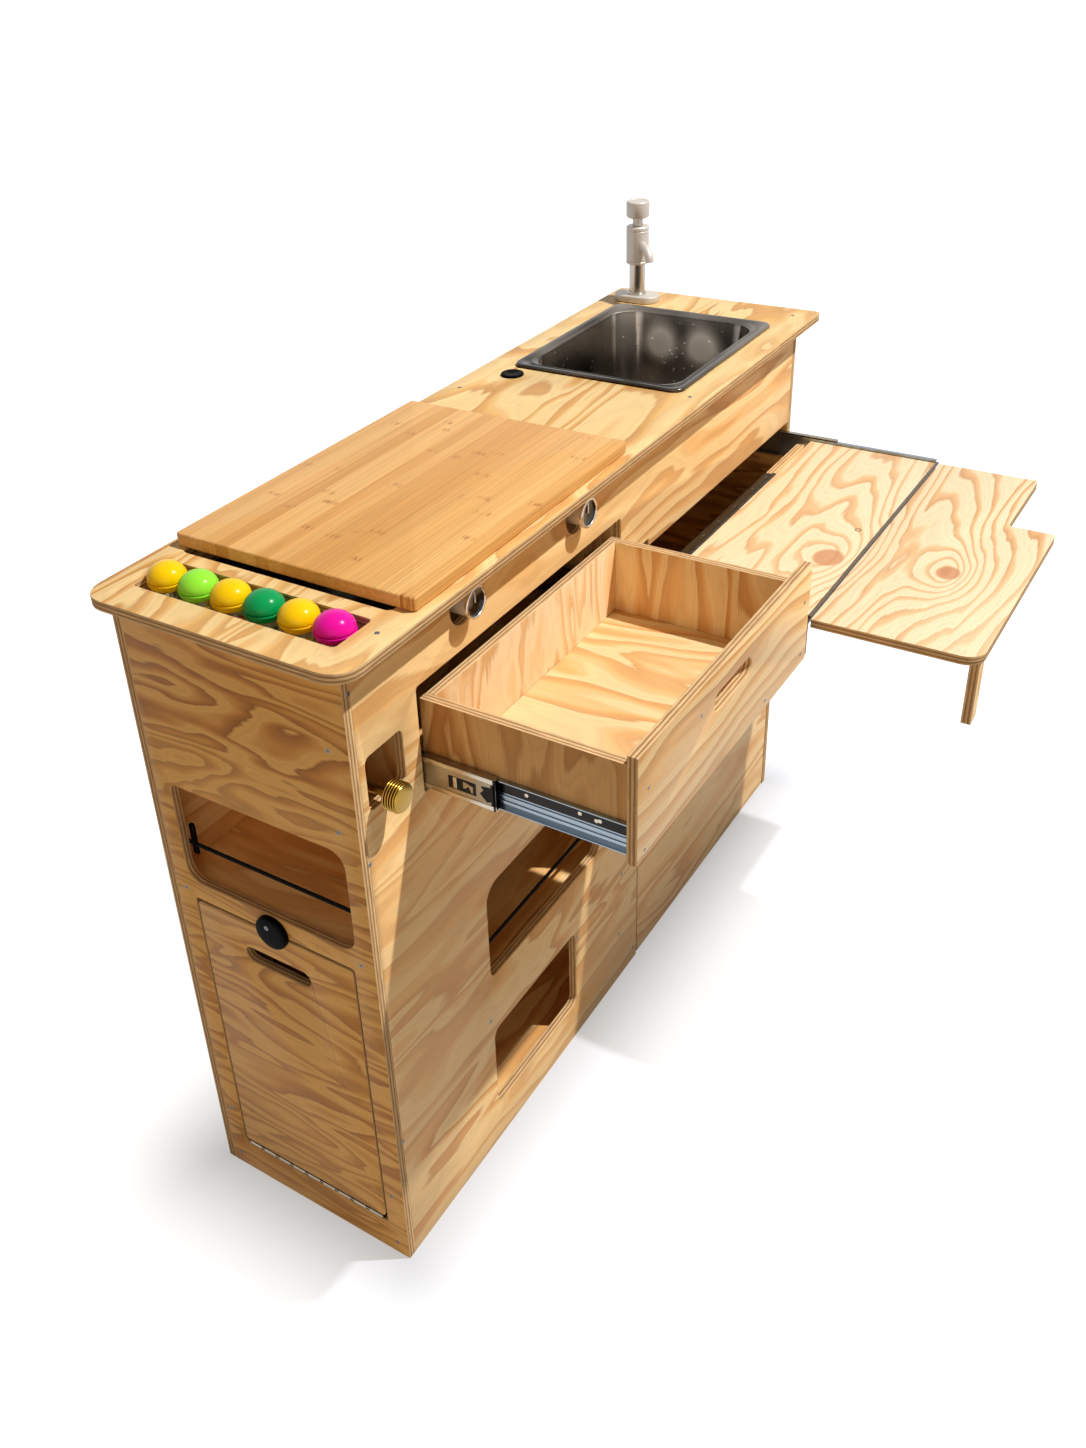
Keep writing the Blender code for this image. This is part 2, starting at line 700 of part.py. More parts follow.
spice_y = (PLY + SPICE_SET, DEPTH - PLY - SPICE_BACK_SET)
tray_y = (spice_y[0] - TRAY_LAP + TRAY_WALL, spice_y[1])
jar_pitch = (tray_y[1] - tray_y[0]) / JARS
lid_radius = (jar_pitch - JAR_SPACE) / 2
jar_radius = lid_radius - LID_LIP
spice_x = (PLY + SPICE_SET, PLY + SPICE_SET + lid_radius + lid_radius + SPICE_SIDE_SPACE)
hob_cut_x = (NEAR_BAY - HOB_CUT_SET, drawer_far - HOB_CUT_FAR_LAP)
sink_x = (length - SINK_FAR_SET - SINK_LENGTH, length - SINK_FAR_SET)
sink_y = (SINK_FRONT_SET, DEPTH - SINK_BACK_SET)
grommet = (sink_x[0] - GROMMET_SET, DEPTH - GROMMET_BACK_SET)


def shrunk(span, by):
    """A span drawn in by the same amount at each end."""
    return (span[0] + by, span[1] - by)


def make_worktop():
    """The overhanging top with its slot, hob opening, sink opening and cord hole."""
    across = (-OVERHANG, length + OVERHANG)
    up = (-OVERHANG, DEPTH + BACK_OVERHANG)
    corners = (WORKTOP_NEAR_CORNER, WORKTOP_FAR_CORNER, WORKTOP_FAR_CORNER, WORKTOP_NEAR_CORNER)
    cut_y = (PLY - HOB_CUT_FRONT_SET, DEPTH - PLY - HOB_CUT_BACK_SET)
    holes = [
        rounded(spice_x, spice_y, SLOT_CORNER),
        rounded(hob_cut_x, cut_y, HOB_CUT_CORNER),
        rounded(shrunk(sink_x, SINK_CUT_LAP), shrunk(sink_y, SINK_CUT_LAP), SINK_CUT_CORNER),
        circle(grommet, GROMMET_HOLE_RADIUS),
    ]
    outline = rounded(across, up, corners)
    board("worktop", "ply", "Z", (worktop_under, HEIGHT), outline, holes, carcass)


def make_chopping_board():
    """The board that covers the hob; it lifts straight off."""
    xs = (hob_cut_x[0] + BOARD_FINGER_GAP, hob_cut_x[1] + BOARD_FAR_LAP)
    ys = (-BOARD_FRONT_LAP, DEPTH)
    lift = pivot("chopping_board_origin", ((xs[0] + xs[1]) / 2, DEPTH / 2, rest_top))
    zs = (rest_top, rest_top + BOARD_THICK)
    block("chopping_board", "bamboo", xs, ys, zs, lift, BOARD_EDGE)


def make_hob():
    """The hob: a flanged pressed well with two burners, pan fins and two valves."""
    top = hob_seat + GAP + HOB_SHEET
    floor = top - HOB_WELL_DEPTH
    xs = (NEAR_BAY + HOB_PLAY, table_near - HOB_PLAY)
    ys = (PLY + HOB_FRONT_PLAY, DEPTH - PLY - HOB_BACK_PLAY)
    well_x = shrunk(xs, HOB_SIDE_LAP)
    well_y = shrunk(ys, HOB_FRONT_LAP)
    rims = [(xs, ys, top), (well_x, well_y, top), (well_x, well_y, floor)]
    loops = [[(a, b, z) for a, b in rounded(x, y, HOB_WELL_CORNER)] for x, y, z in rims]
    hob = shell("hob", "steel", loops, HOB_SHEET, carcass, floor=True)
    solids = []
    middle = (ys[0] + ys[1]) / 2
    fin_top = rest_top - FIN_CLEAR
    low = floor - HOB_SHEET / 2
    for i, x in enumerate(knob_places):
        burner = [
            (0, floor + BURNER_CAP_RISE),
            (BURNER_CAP_RADIUS, floor + BURNER_CAP_RISE),
            (BURNER_CAP_RADIUS, floor + BURNER_RISE),
            (BURNER_RADIUS, floor + BURNER_RISE),
            (BURNER_RADIUS, floor + BURNER_CUP_RISE),
            (BURNER_CUP_RADIUS, floor + BURNER_CUP_RISE),
            (BURNER_CUP_RADIUS, low),
            (0, low),
        ]
        solids.append(turned(f"burner_{i}", "steel", "Z", (x, middle, 0), burner, carcass))
        inner = BURNER_RADIUS - FIN_THICK
        half = FIN_THICK / 2
        for side in (1, -1):
            reach = sorted((side * inner, side * FIN_REACH))
            fin_x = (x + reach[0], x + reach[1])
            fin_y = (middle + reach[0], middle + reach[1])
            across = (middle - half, middle + half)
            along = (x - half, x + half)
            solids.append(block(f"fin_{i}", "steel", fin_x, across, (low, fin_top), carcass))
            solids.append(block(f"fin_{i}", "steel", along, fin_y, (low, fin_top), carcass))
        front = KNOB_BODY_LENGTH - KNOB_STAND_OUT + KNOB_SHAFT_LENGTH + GAP
        valve = [(0, -front), (VALVE_RADIUS, -front)]
        valve += [(VALVE_RADIUS, -front - VALVE_LENGTH), (0, -front - VALVE_LENGTH)]
        solids.append(turned(f"valve_{i}", "steel", "Y", (x, 0, knob_z), valve, carcass))
    fuse(hob, solids)


def make_hob_knobs():
    """Two black hob knobs with a bright ring and a dished face, turning in their notches."""
    shaft_end = KNOB_STAND_OUT - KNOB_BODY_LENGTH - KNOB_SHAFT_LENGTH
    ring_back = KNOB_STAND_OUT - KNOB_RING_LENGTH
    profile = [
        (0, KNOB_STAND_OUT - KNOB_DISH),
        (KNOB_RADIUS - KNOB_RIM, KNOB_STAND_OUT - KNOB_DISH),
        (KNOB_RADIUS, KNOB_STAND_OUT),
        (KNOB_RING_RADIUS, KNOB_STAND_OUT),
        (KNOB_RING_RADIUS, ring_back),
        (KNOB_RADIUS, ring_back),
        (KNOB_RADIUS, KNOB_STAND_OUT - KNOB_BODY_LENGTH),
        (KNOB_SHAFT_RADIUS, KNOB_STAND_OUT - KNOB_BODY_LENGTH),
        (KNOB_SHAFT_RADIUS, shaft_end),
        (0, shaft_end),
    ]
    for name, x in zip(("hob_knob_near", "hob_knob_far"), knob_places):
        turn = pivot(name + "_axis", (x, 0, knob_z))
        turned(name, "black_plastic", "Y", (x, 0, knob_z), profile, turn)


def make_sink():
    """The pressed sink: rim, drafted walls, rounded foot, floor and waste spigot."""
    rim_top = rest_top + SINK_RIM_RISE
    floor = rim_top - SINK_DEPTH
    mouth = SINK_FLANGE
    foot = SINK_FLANGE + SINK_DRAFT
    edge = SINK_SHEET / 2
    sections = [
        (0, SINK_RIM_CORNER, rest_top),
        (0, SINK_RIM_CORNER, rim_top - edge),
        (edge, SINK_RIM_CORNER, rim_top),
        (mouth - edge, SINK_CORNER, rim_top),
        (mouth, SINK_CORNER, rim_top - edge),
        (foot, SINK_CORNER, floor + SINK_FLOOR_RADIUS),
    ]
    for k in range(1, BOWL_STEPS // 2 + 1):
        turn = QUARTER * k / (BOWL_STEPS // 2)
        inset = foot + SINK_FLOOR_RADIUS * (1 - math.cos(turn))
        height = floor + SINK_FLOOR_RADIUS * (1 - math.sin(turn))
        sections.append((inset, SINK_CORNER, height))
    loops = []
    for inset, radius, z in sections:
        outline = rounded(shrunk(sink_x, inset), shrunk(sink_y, inset), radius)
        loops.append([(a, b, z) for a, b in outline])
    count = len(loops[0])
    centre = ((sink_x[0] + sink_x[1]) / 2, (sink_y[0] + sink_y[1]) / 2)
    turns = [math.pi + math.tau * (k + 1 / 2) / count for k in range(count)]
    for z in (floor, floor - DRAIN_LENGTH):
        ring = [Vector((math.cos(t), math.sin(t))) * DRAIN_RADIUS for t in turns]
        loops.append([(centre[0] + spot.x, centre[1] + spot.y, z) for spot in ring])
    shell("sink_bowl", "steel", loops, SINK_SHEET, carcass)


def make_grommet():
    """The black cap in the cord hole: a flange over a plug."""
    plug = GROMMET_HOLE_RADIUS - GROMMET_CLEAR
    flange = GROMMET_HOLE_RADIUS + GROMMET_LIP
    top = rest_top + GROMMET_LIP
    foot = worktop_under + GROMMET_LIP
    profile = [
        (0, top),
        (flange - GROMMET_CLEAR, top),
        (flange, top - GROMMET_CLEAR),
        (flange, rest_top),
        (plug, rest_top),
        (plug, foot),
        (0, foot),
    ]
    lift = pivot("grommet_cap_axis", (*grommet, rest_top))
    turned("grommet_cap", "black_plastic", "Z", (*grommet, 0), profile, lift)


tap = (length - TAP_FAR_SET, DEPTH - TAP_BACK_SET)
tap_seat = rest_top + TAP_PLATE_RISE
column_top = tap_seat + TAP_COLUMN_RISE
sleeve_foot = column_top + GAP
sleeve_top = sleeve_foot + SLEEVE_RISE
bore = SLEEVE_RADIUS - SLEEVE_WALL


def make_tap():
    """The hand pump tap: plate and column, a turning sleeve with a spout, a rod with its knob."""
    pin = bore - SLEEVE_CLEAR
    across = (tap[0] - TAP_PLATE_WIDTH / 2, tap[0] + TAP_PLATE_WIDTH / 2)
    up = (tap[1] - TAP_PLATE_LENGTH / 2, tap[1] + TAP_PLATE_LENGTH / 2)
    outline = rounded(across, up, TAP_PLATE_WIDTH / 2 - GAP)
    plate = board("tap_base", "chrome", "Z", (rest_top, tap_seat), outline, [], carcass)
    base = welded(plate)
    column = [
        (0, column_top + TAP_PIN_RISE),
        (pin, column_top + TAP_PIN_RISE),
        (pin, column_top),
        (TAP_COLUMN_RADIUS, column_top),
        (TAP_COLUMN_RADIUS, tap_seat - TAP_PLATE_RISE / 2),
        (0, tap_seat - TAP_PLATE_RISE / 2),
    ]
    fuse(base, [turned("tap_column", "chrome", "Z", (*tap, 0), column, carcass)])
    turn = pivot("tap_axis", (*tap, sleeve_foot))
    sleeve = [
        (SLEEVE_RADIUS, sleeve_top),
        (SLEEVE_RADIUS, sleeve_foot),
        (bore, sleeve_foot),
        (bore, sleeve_top),
    ]
    spout = turned("tap_spout", "chrome", "Z", (*tap, 0), sleeve, turn, closed=True)
    start = (bore + SLEEVE_RADIUS) / 2
    points = []
    for k in range(BOWL_STEPS + 1):
        bend = QUARTER * k / BOWL_STEPS
        reach = start + (SPOUT_REACH - start) * math.sin(bend)
        height = sleeve_foot + SPOUT_RISE - SPOUT_DROP * (1 - math.cos(bend))
        x = tap[0] + reach * math.cos(SPOUT_TURN)
        points.append((x, tap[1] + reach * math.sin(SPOUT_TURN), height))
    fuse(spout, [welded(tube("spout", "chrome", points, SPOUT_RADIUS, turn))])
    rod_foot = sleeve_top - ROD_OVERLAP
    knob_foot = sleeve_top + ROD_STAND_OUT
    knob_top = knob_foot + PUMP_KNOB_HEIGHT
    rod = [
        (0, knob_top),
        (PUMP_KNOB_RADIUS - PUMP_KNOB_EDGE, knob_top),
        (PUMP_KNOB_RADIUS, knob_top - PUMP_KNOB_EDGE),
        (PUMP_KNOB_RADIUS, knob_foot),
        (pin, knob_foot),
        (pin, rod_foot),
        (0, rod_foot),
    ]
    pump = pivot("tap_knob_axis", (*tap, knob_foot))
    turned("tap_knob", "chrome", "Z", (*tap, 0), rod, pump)


def make_spices():
    """The spice tray hung under its slot, and the row of jars that stand in it."""
    top = worktop_under - GAP
    foot = opening_top + TRAY_WALL
    rims = [(spice_x, tray_y, top), (spice_x, tray_y, foot)]
    loops = [[(a, b, z) for a, b in rounded(x, y, SLOT_CORNER)] for x, y, z in rims]
    shell("spice_tray", "ply", loops, TRAY_WALL, carcass, floor=True)
    x = (spice_x[0] + spice_x[1]) / 2
    edge = HEIGHT + LID_EDGE_RISE
    dome = HEIGHT + LID_TOP_RISE
    for i in range(JARS):
        profile = [(0, dome)]
        for k in range(1, BOWL_STEPS + 1):
            turn = QUARTER * k / BOWL_STEPS
            profile.append((lid_radius * math.sin(turn), edge + (dome - edge) * math.cos(turn)))
        profile += [
            (lid_radius - LID_GROOVE, edge - LID_GROOVE),
            (lid_radius, edge - LID_GROOVE - LID_GROOVE),
            (lid_radius, edge - LID_SKIRT),
            (jar_radius, edge - LID_SKIRT),
            (jar_radius, foot + JAR_LIFT),
            (0, foot + JAR_LIFT),
        ]
        y = tray_y[0] + jar_pitch * (i + 1 / 2)
        lift = pivot(f"jar_{i + 1}_axis", (x, y, foot))
        look = LID_LOOKS[i % len(LID_LOOKS)]
        turned(f"jar_{i + 1}", look, "Z", (x, y, 0), profile, lift)


def channel(start, flange, half):
    """A runner member's section: a web at start from the wall, flanges out to flange."""
    web = start + RUNNER_SHEET
    lip = half - RUNNER_SHEET
    return [
        (start, -half),
        (flange, -half),
        (flange, -lip),
        (web, -lip),
        (web, lip),
        (flange, lip),
        (flange, half),
        (start, half),
    ]


def make_runner(names, wall, side, z, fronts, bodies):
    """A three-part runner on a wall; side is the way into the room, fronts the front ends."""
    middle_half = OUTER_HALF - RUNNER_SHEET - RACE_CLEAR
    inner_half = middle_half - RUNNER_SHEET - RACE_CLEAR
    inner = channel(0, INNER_FLANGE, inner_half)
    sections = [
        channel(0, OUTER_FLANGE, OUTER_HALF),
        channel(MIDDLE_START, MIDDLE_FLANGE, middle_half),
        [(RUNNER_THICK - a, b) for a, b in inner],
    ]
    lengths = [runner_length, runner_length - MIDDLE_SHORTER, runner_length]
    for name, section, front, length, body in zip(names, sections, fronts, lengths, bodies):
        outline = [(wall + side * (GAP + a), z + b) for a, b in section]
        board(name, "zinc", "Y", (front, front + length), outline, [], body)


def runner_names(owner, end):
    return [f"{owner}_runner_{member}_{end}" for member in ("outer", "middle", "inner")]


def make_drawer():
    """The drawer, drawn out: front with a finger slot, sides, back, bottom and runners."""
    front = -drawer_travel
    side_front = front + PLY + GAP
    side_y = (side_front, side_front + runner_length)
    middle = (drawer_near + drawer_far) / 2
    box_z = (opening_foot + DRAWER_SIDE_LIFT, opening_top - DRAWER_SIDE_DROP)
    slide = pivot("drawer_origin", (middle, front, opening_foot))
    middles = pivot("drawer_middles_origin", (middle, front / 2, opening_foot))
    across = shrunk((drawer_near, drawer_far), DRAWER_FRONT_CLEAR)
    up = shrunk((opening_foot, opening_top), DRAWER_FRONT_CLEAR)
    centre = (middle, up[1] - DRAWER_SLOT_DROP)
    hole = slot(centre, DRAWER_SLOT_LENGTH, DRAWER_SLOT_HEIGHT)
    outline = rounded(across, up, 0)
    board("drawer_front", "ply", "Y", (front, front + PLY), outline, [hole], slide)
    side_set = RUNNER_THICK + GAP + GAP
    near = drawer_near + side_set
    far = drawer_far - side_set
    block("drawer_side_near", "ply", (near, near + PLY), side_y, box_z, slide)
    block("drawer_side_far", "ply", (far - PLY, far), side_y, box_z, slide)
    between = shrunk((near, far), PLY + GAP)
    back_y = (side_y[1] - PLY - GAP, side_y[1] - GAP)
    block("drawer_back", "ply", between, back_y, box_z, slide)
    floor = box_z[0] + DRAWER_FLOOR_LIFT
    floor_y = (side_front, back_y[0] - GAP)
    block("drawer_bottom", "ply", between, floor_y, (floor, floor + DRAWER_FLOOR), slide)
    z = opening_foot + DRAWER_RUNNER_LIFT
    fronts = (front_in, front_in + MIDDLE_SHORTER + front / 2, side_front)
    bodies = (carcass, middles, slide)
    make_runner(runner_names("drawer", "near"), drawer_near, 1, z, fronts, bodies)
    make_runner(runner_names("drawer", "far"), drawer_far, -1, z, fronts, bodies)


def make_table():
    """The pull-out table, drawn out and level: carriage, tilting panel, leaf and leg."""
    front = -table_travel + TABLE_FRONT_SET
    panel_under = table_top - PLY
    middle = (table_near + table_far) / 2
    slide = pivot("table_origin", (middle, front, panel_under))
    middles = pivot("table_middles_origin", (middle, front / 2, panel_under))
    cheek_z = (panel_under - GAP - CHEEK_HEIGHT, panel_under - GAP)
    cheek_y = (front, -CHEEK_BACK_SET)
    near = (carriage_near, carriage_near + PLY)
    far = (carriage_far - PLY, carriage_far)
    block("table_cheek_near", "ply", near, cheek_y, cheek_z, slide)
    block("table_cheek_far", "ply", far, cheek_y, cheek_z, slide)
    pin_z = table_top - RAIL_HINGE_DROP
    rail_z = (cheek_z[0], pin_z - HINGE_SHEET - GAP)
    rail_y = (-RAIL_FRONT_SET, PLY - RAIL_FRONT_SET)
    block("table_rail", "ply", (near[1] + GAP, far[0] - GAP), rail_y, rail_z, slide)
    reach = RAIL_HINGE_SET - RAIL_FRONT_SET + PLY - GAP
    section = hinge_section(RAIL_HINGE_RADIUS, -HINGE_SHEET, 0, reach)
    outline = [(a - RAIL_HINGE_SET, pin_z + b) for a, b in section]
    span = (panel_x[0] + RAIL_HINGE_NEAR_SET, panel_x[1] - RAIL_HINGE_FAR_SET)
    board("rail_hinge", "zinc", "X", span, outline, [], slide)
    z = table_top - TABLE_RUNNER_DROP
    fronts = (front_in, front_in + MIDDLE_SHORTER - table_travel / 2, front)
    bodies = (carcass, middles, slide)
    make_runner(runner_names("table", "near"), table_near, 1, z, fronts, bodies)
    make_runner(runner_names("table", "far"), table_far, -1, z, fronts, bodies)
    tilt = pivot("table_tilt_axis", (middle, -RAIL_HINGE_SET, pin_z))
    panel_y = (front, -PANEL_INNER_SET)
    panel_z = (panel_under, table_top)
    block("table_panel", "ply", panel_x, panel_y, panel_z, tilt)
    fold_z = table_top + LEAF_HINGE_LIFT
    low = GAP - TABLE_FRONT_SET
    section = hinge_section(LEAF_HINGE_RADIUS, low, low + HINGE_SHEET, PLY)
    outline = [(-table_travel - b, fold_z - a) for a, b in section]
    board("leaf_hinge", "zinc", "X", shrunk(panel_x, LEAF_HINGE_IN), outline, [], tilt)
    fold = pivot("leaf_fold_axis", (middle, -table_travel, fold_z))
    inner = -table_travel - TABLE_FRONT_SET
    outer = inner - LEAF_DEPTH
    notch_x = panel_x[1] - LEAF_NOTCH_WIDTH
    notch_y = outer + LEAF_NOTCH_DEPTH
    corners = [(panel_x[0], outer), (notch_x, outer), (notch_x, notch_y)]
    corners += [(panel_x[1], notch_y), (panel_x[1], inner), (panel_x[0], inner)]
    radii = [LEAF_CORNER, *(LEAF_SMALL_CORNER for at in corners[1:4]), 0, 0]
    board("table_leaf", "ply", "Z", panel_z, eased(corners, radii), [], fold)
    leg_y = (outer + LEG_EDGE_SET, outer + LEG_EDGE_SET + LEG_THICK)
    leg_top = panel_under - LEG_CLEAR
    pin_y = (leg_y[0] + leg_y[1]) / 2
    leg = pivot("leg_fold_axis", (sum(leg_x) / 2, pin_y, leg_top - LEG_THICK / 2))
    outline = rounded(leg_y, (leg_top - LEG_LENGTH, leg_top), (0, 0, LEG_ROUND, LEG_ROUND))
    board("table_leg", "ply", "X", leg_x, outline, [], leg)


def make_brass_knob():
    """The ribbed brass knob in its window, on a spindle with a foot at the back."""
    axis = (brass_window_x + BRASS_SIDE, 0, brass_window_z + BRASS_RISE)
    top = BRASS_CLEAR + BRASS_LENGTH
    bands = BRASS_RIBS + BRASS_RIBS + 1
    band = BRASS_LENGTH / bands
    foot = back_in - SPINDLE_FOOT_LENGTH
    profile = [(0, top)]
    for k in range(bands):
        radius = BRASS_RADIUS - BRASS_RIB_DEPTH * (k % 2)
        profile += [(radius, top - band * k), (radius, top - band * (k + 1))]
    profile += [
        (SPINDLE_RADIUS, BRASS_CLEAR),
        (SPINDLE_RADIUS, -foot),
        (SPINDLE_FOOT_RADIUS, -foot),
        (SPINDLE_FOOT_RADIUS, -back_in),
        (0, -back_in),
    ]
    turned("brass_knob", "brass", "Y", axis, profile, pivot("brass_knob_axis", axis))


make_carcass()
make_front_panel()
make_near_end()
make_end_door()
make_front_door()
make_worktop()
make_chopping_board()
make_hob()
make_hob_knobs()
make_sink()
make_grommet()
make_tap()
make_spices()
make_drawer()
make_table()
make_brass_knob()
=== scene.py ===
import json
import math

import bmesh
import bpy
import numpy as np
from mathutils import Matrix, Vector

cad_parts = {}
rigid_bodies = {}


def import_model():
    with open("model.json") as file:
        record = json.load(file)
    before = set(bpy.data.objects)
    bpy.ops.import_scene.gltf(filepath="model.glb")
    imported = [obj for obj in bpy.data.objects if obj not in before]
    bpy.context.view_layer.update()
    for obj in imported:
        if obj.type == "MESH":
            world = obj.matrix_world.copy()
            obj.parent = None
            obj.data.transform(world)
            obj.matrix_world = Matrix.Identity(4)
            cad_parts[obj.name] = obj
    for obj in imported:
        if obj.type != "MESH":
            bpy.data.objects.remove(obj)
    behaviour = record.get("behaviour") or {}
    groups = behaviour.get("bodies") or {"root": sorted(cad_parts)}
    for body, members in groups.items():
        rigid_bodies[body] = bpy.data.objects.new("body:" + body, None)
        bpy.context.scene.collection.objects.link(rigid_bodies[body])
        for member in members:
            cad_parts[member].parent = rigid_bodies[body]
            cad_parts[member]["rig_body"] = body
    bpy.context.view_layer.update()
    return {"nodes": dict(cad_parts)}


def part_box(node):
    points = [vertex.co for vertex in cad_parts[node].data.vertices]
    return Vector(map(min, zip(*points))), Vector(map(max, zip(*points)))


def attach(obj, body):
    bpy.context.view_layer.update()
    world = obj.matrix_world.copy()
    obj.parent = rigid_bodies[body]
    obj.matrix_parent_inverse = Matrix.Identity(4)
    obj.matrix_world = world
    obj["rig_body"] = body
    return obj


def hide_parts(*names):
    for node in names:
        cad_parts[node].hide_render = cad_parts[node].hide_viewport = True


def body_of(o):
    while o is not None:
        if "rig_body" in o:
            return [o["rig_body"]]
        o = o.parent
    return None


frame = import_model()
scene = bpy.context.scene


# Viewpoint
# The picture was taken from head height off the near front corner, with the pod seen whole.
# The camera stands where the cabinet's edges and the height of its worktop put it.
eye = Vector((-1.3706, -0.8655, 1.5406))
heading, pitch, roll = 0.6084, -0.5295, -0.0600
picture = Vector((1086, 1448))
focal_pixels = 1321.5
centre_pixels = Vector((475.2, 630.6))
level = math.cos(pitch)
ahead = Vector((level * math.cos(heading), level * math.sin(heading), math.sin(pitch)))
level_right = ahead.cross(Vector((0, 0, 1))).normalized()
level_up = level_right.cross(ahead)
right = level_right * math.cos(roll) + level_up * math.sin(roll)
up = level_up * math.cos(roll) - level_right * math.sin(roll)
lens = bpy.data.cameras.new("camera")
lens.lens = lens.sensor_width * focal_pixels / picture.y
lens.shift_x = (picture.x / 2 - centre_pixels.x) / picture.y
lens.shift_y = (centre_pixels.y - picture.y / 2) / picture.y
lens.clip_start = 0.01
camera = bpy.data.objects.new("camera", lens)
camera.matrix_world = Matrix.Translation(eye) @ Matrix((right, up, -ahead)).transposed().to_4x4()
scene.collection.objects.link(camera)
scene.camera = camera


# Studio
# A white floor whose shade fades with the distance from the pod's foot, and a white surround
# that metal and glass also see. A small hard lamp stands high at the front right, where the
# sun stood, and a broad warm one fills the near end.
def srgb(code):
    """A colour from its sRGB hex code, turned to the linear values that shaders read."""
    parts = [int(code[i : i + 2], 16) / 255 for i in (0, 2, 4)]
    linear = [p / 12.92 if p <= 0.04045 else ((p + 0.055) / 1.055) ** 2.4 for p in parts]
    return (*linear, 1.0)


def join(source, socket):
    """Links a node's first output, or a given output, to an input socket of the same tree."""
    output = source.outputs[0] if isinstance(source, bpy.types.Node) else source
    socket.id_data.links.new(output, socket)


def add(tree, kind, inputs=None, feeds=None):
    """Adds one shader node; its kind may name an operation after a dot. An input gets a value,
    or a link from a node or an output. Span gives a MapRange's limits, from and then to, and
    stops a ramp's places and colours. The node's first output then feeds the given socket."""
    kind, _, operation = kind.partition(".")
    node = tree.nodes.new("ShaderNode" + kind)
    if operation:
        node.operation = operation
    for key, value in (inputs or {}).items():
        if key == "stops":
            stops = node.color_ramp.elements
            stops[0].position, stops[0].color = value[0][0], srgb(value[0][1])
            stops[1].position, stops[1].color = value[-1][0], srgb(value[-1][1])
            for place, code in value[1:-1]:
                stops.new(place).color = srgb(code)
        elif key == "span":
            for limit, number in zip(("From Min", "From Max", "To Min", "To Max"), value):
                node.inputs[limit].default_value = number
        elif isinstance(value, (bpy.types.Node, bpy.types.NodeSocket)):
            join(value, node.inputs[key])
        elif isinstance(key, int) or key in node.inputs:
            node.inputs[key].default_value = value
        else:
            setattr(node, key, value)
    if feeds is not None:
        join(node, feeds)
    return node


def finish(name, settings):
    """A new material: its node tree, its main shader with settings, and the material."""
    made = bpy.data.materials.new(name)
    made.use_nodes = True
    shader = made.node_tree.nodes["Principled BSDF"]
    for key, value in settings.items():
        shader.inputs[key].default_value = value
    return made.node_tree, shader, made


reach = 80
ground = [(-reach, -reach, 0), (reach, -reach, 0), (reach, reach, 0), (-reach, reach, 0)]
floor_mesh = bpy.data.meshes.new("floor")
floor_mesh.from_pydata(ground, [], [(0, 1, 2, 3)])
floor = bpy.data.objects.new("floor", floor_mesh)
scene.collection.objects.link(floor)
tree, shader, floor_white = finish("white_studio_floor", {"Roughness": 1, "Specular IOR Level": 0})
path = add(tree, "LightPath").outputs
seen = add(tree, "Math.MAXIMUM", {0: path["Is Camera Ray"], 1: path["Is Glossy Ray"]})
white = add(tree, "Mix", {"data_type": "RGBA", 0: seen, 6: srgb("b9b5ae"), 7: srgb("969cab")})
join(white.outputs[2], shader.inputs["Base Color"])
half_foot, shade_start, shade_end, shade_glow = (0.579, 0.155, 0), -0.06, 0.18, 0.36
laid = add(tree, "Mapping", {"Scale": (1, 1, 0), "Vector": add(tree, "TexCoord").outputs["Object"]})
laid = add(tree, "VectorMath.ABSOLUTE", {0: laid})
laid = add(tree, "VectorMath.SUBTRACT", {0: laid, 1: half_foot})
laid = add(tree, "VectorMath.MAXIMUM", {0: laid, 1: (0, 0, 0)})
away = add(tree, "VectorMath.LENGTH", {0: laid}).outputs["Value"]
shade_span = (shade_start, shade_end, shade_glow, 1.0)
fall = {"interpolation_type": "SMOOTHSTEP", "span": shade_span, "Value": away}
fade = add(tree, "MapRange", fall)
lift = add(tree, "Math.MULTIPLY", {0: seen, 1: fade})
glow = add(tree, "Emission", {"Color": srgb("ffffff"), "Strength": lift})
add(tree, "AddShader", {0: shader, 1: glow}, tree.nodes["Material Output"].inputs["Surface"])
floor_mesh.materials.append(floor_white)

world = bpy.data.worlds.new("surround")
scene.world = world
world.use_nodes = True
air = world.node_tree
surround = air.nodes["Background"].inputs
light_on_object = 0.145
path = add(air, "LightPath").outputs
seen = add(air, "Math.MAXIMUM", {0: path["Is Camera Ray"], 1: path["Is Glossy Ray"]})
seen = add(air, "Math.MAXIMUM", {0: seen, 1: path["Is Transmission Ray"]})
add(air, "MapRange", {"span": (0, 1, light_on_object, 1.0), "Value": seen}, surround["Strength"])
glow = add(air, "Mix", {"data_type": "RGBA", 0: seen, 6: srgb("ffe9cf"), 7: srgb("ffffff")})
join(glow.outputs[2], surround["Color"])


def lamp(name, place, aim, size, power, tint):
    """A square area lamp at a place, turned to face its aim."""
    light = bpy.data.lights.new(name, "AREA")
    light.size = size
    light.energy = power
    light.color = srgb(tint)[:3]
    made = bpy.data.objects.new(name, light)
    made.location = place
    made.rotation_euler = (Vector(aim) - Vector(place)).to_track_quat("-Z", "Y").to_euler()
    scene.collection.objects.link(made)


lamp("key", (1.12, -2.62, 5.35), (0, 0, 0.5), 0.10, 330, "fff8ee")
lamp("near_fill", (-2.8, -1.0, 1.2), (-0.2, 0, 0.5), 2.0, 13, "ffe0bb")
scene.view_settings.view_transform = "Standard"


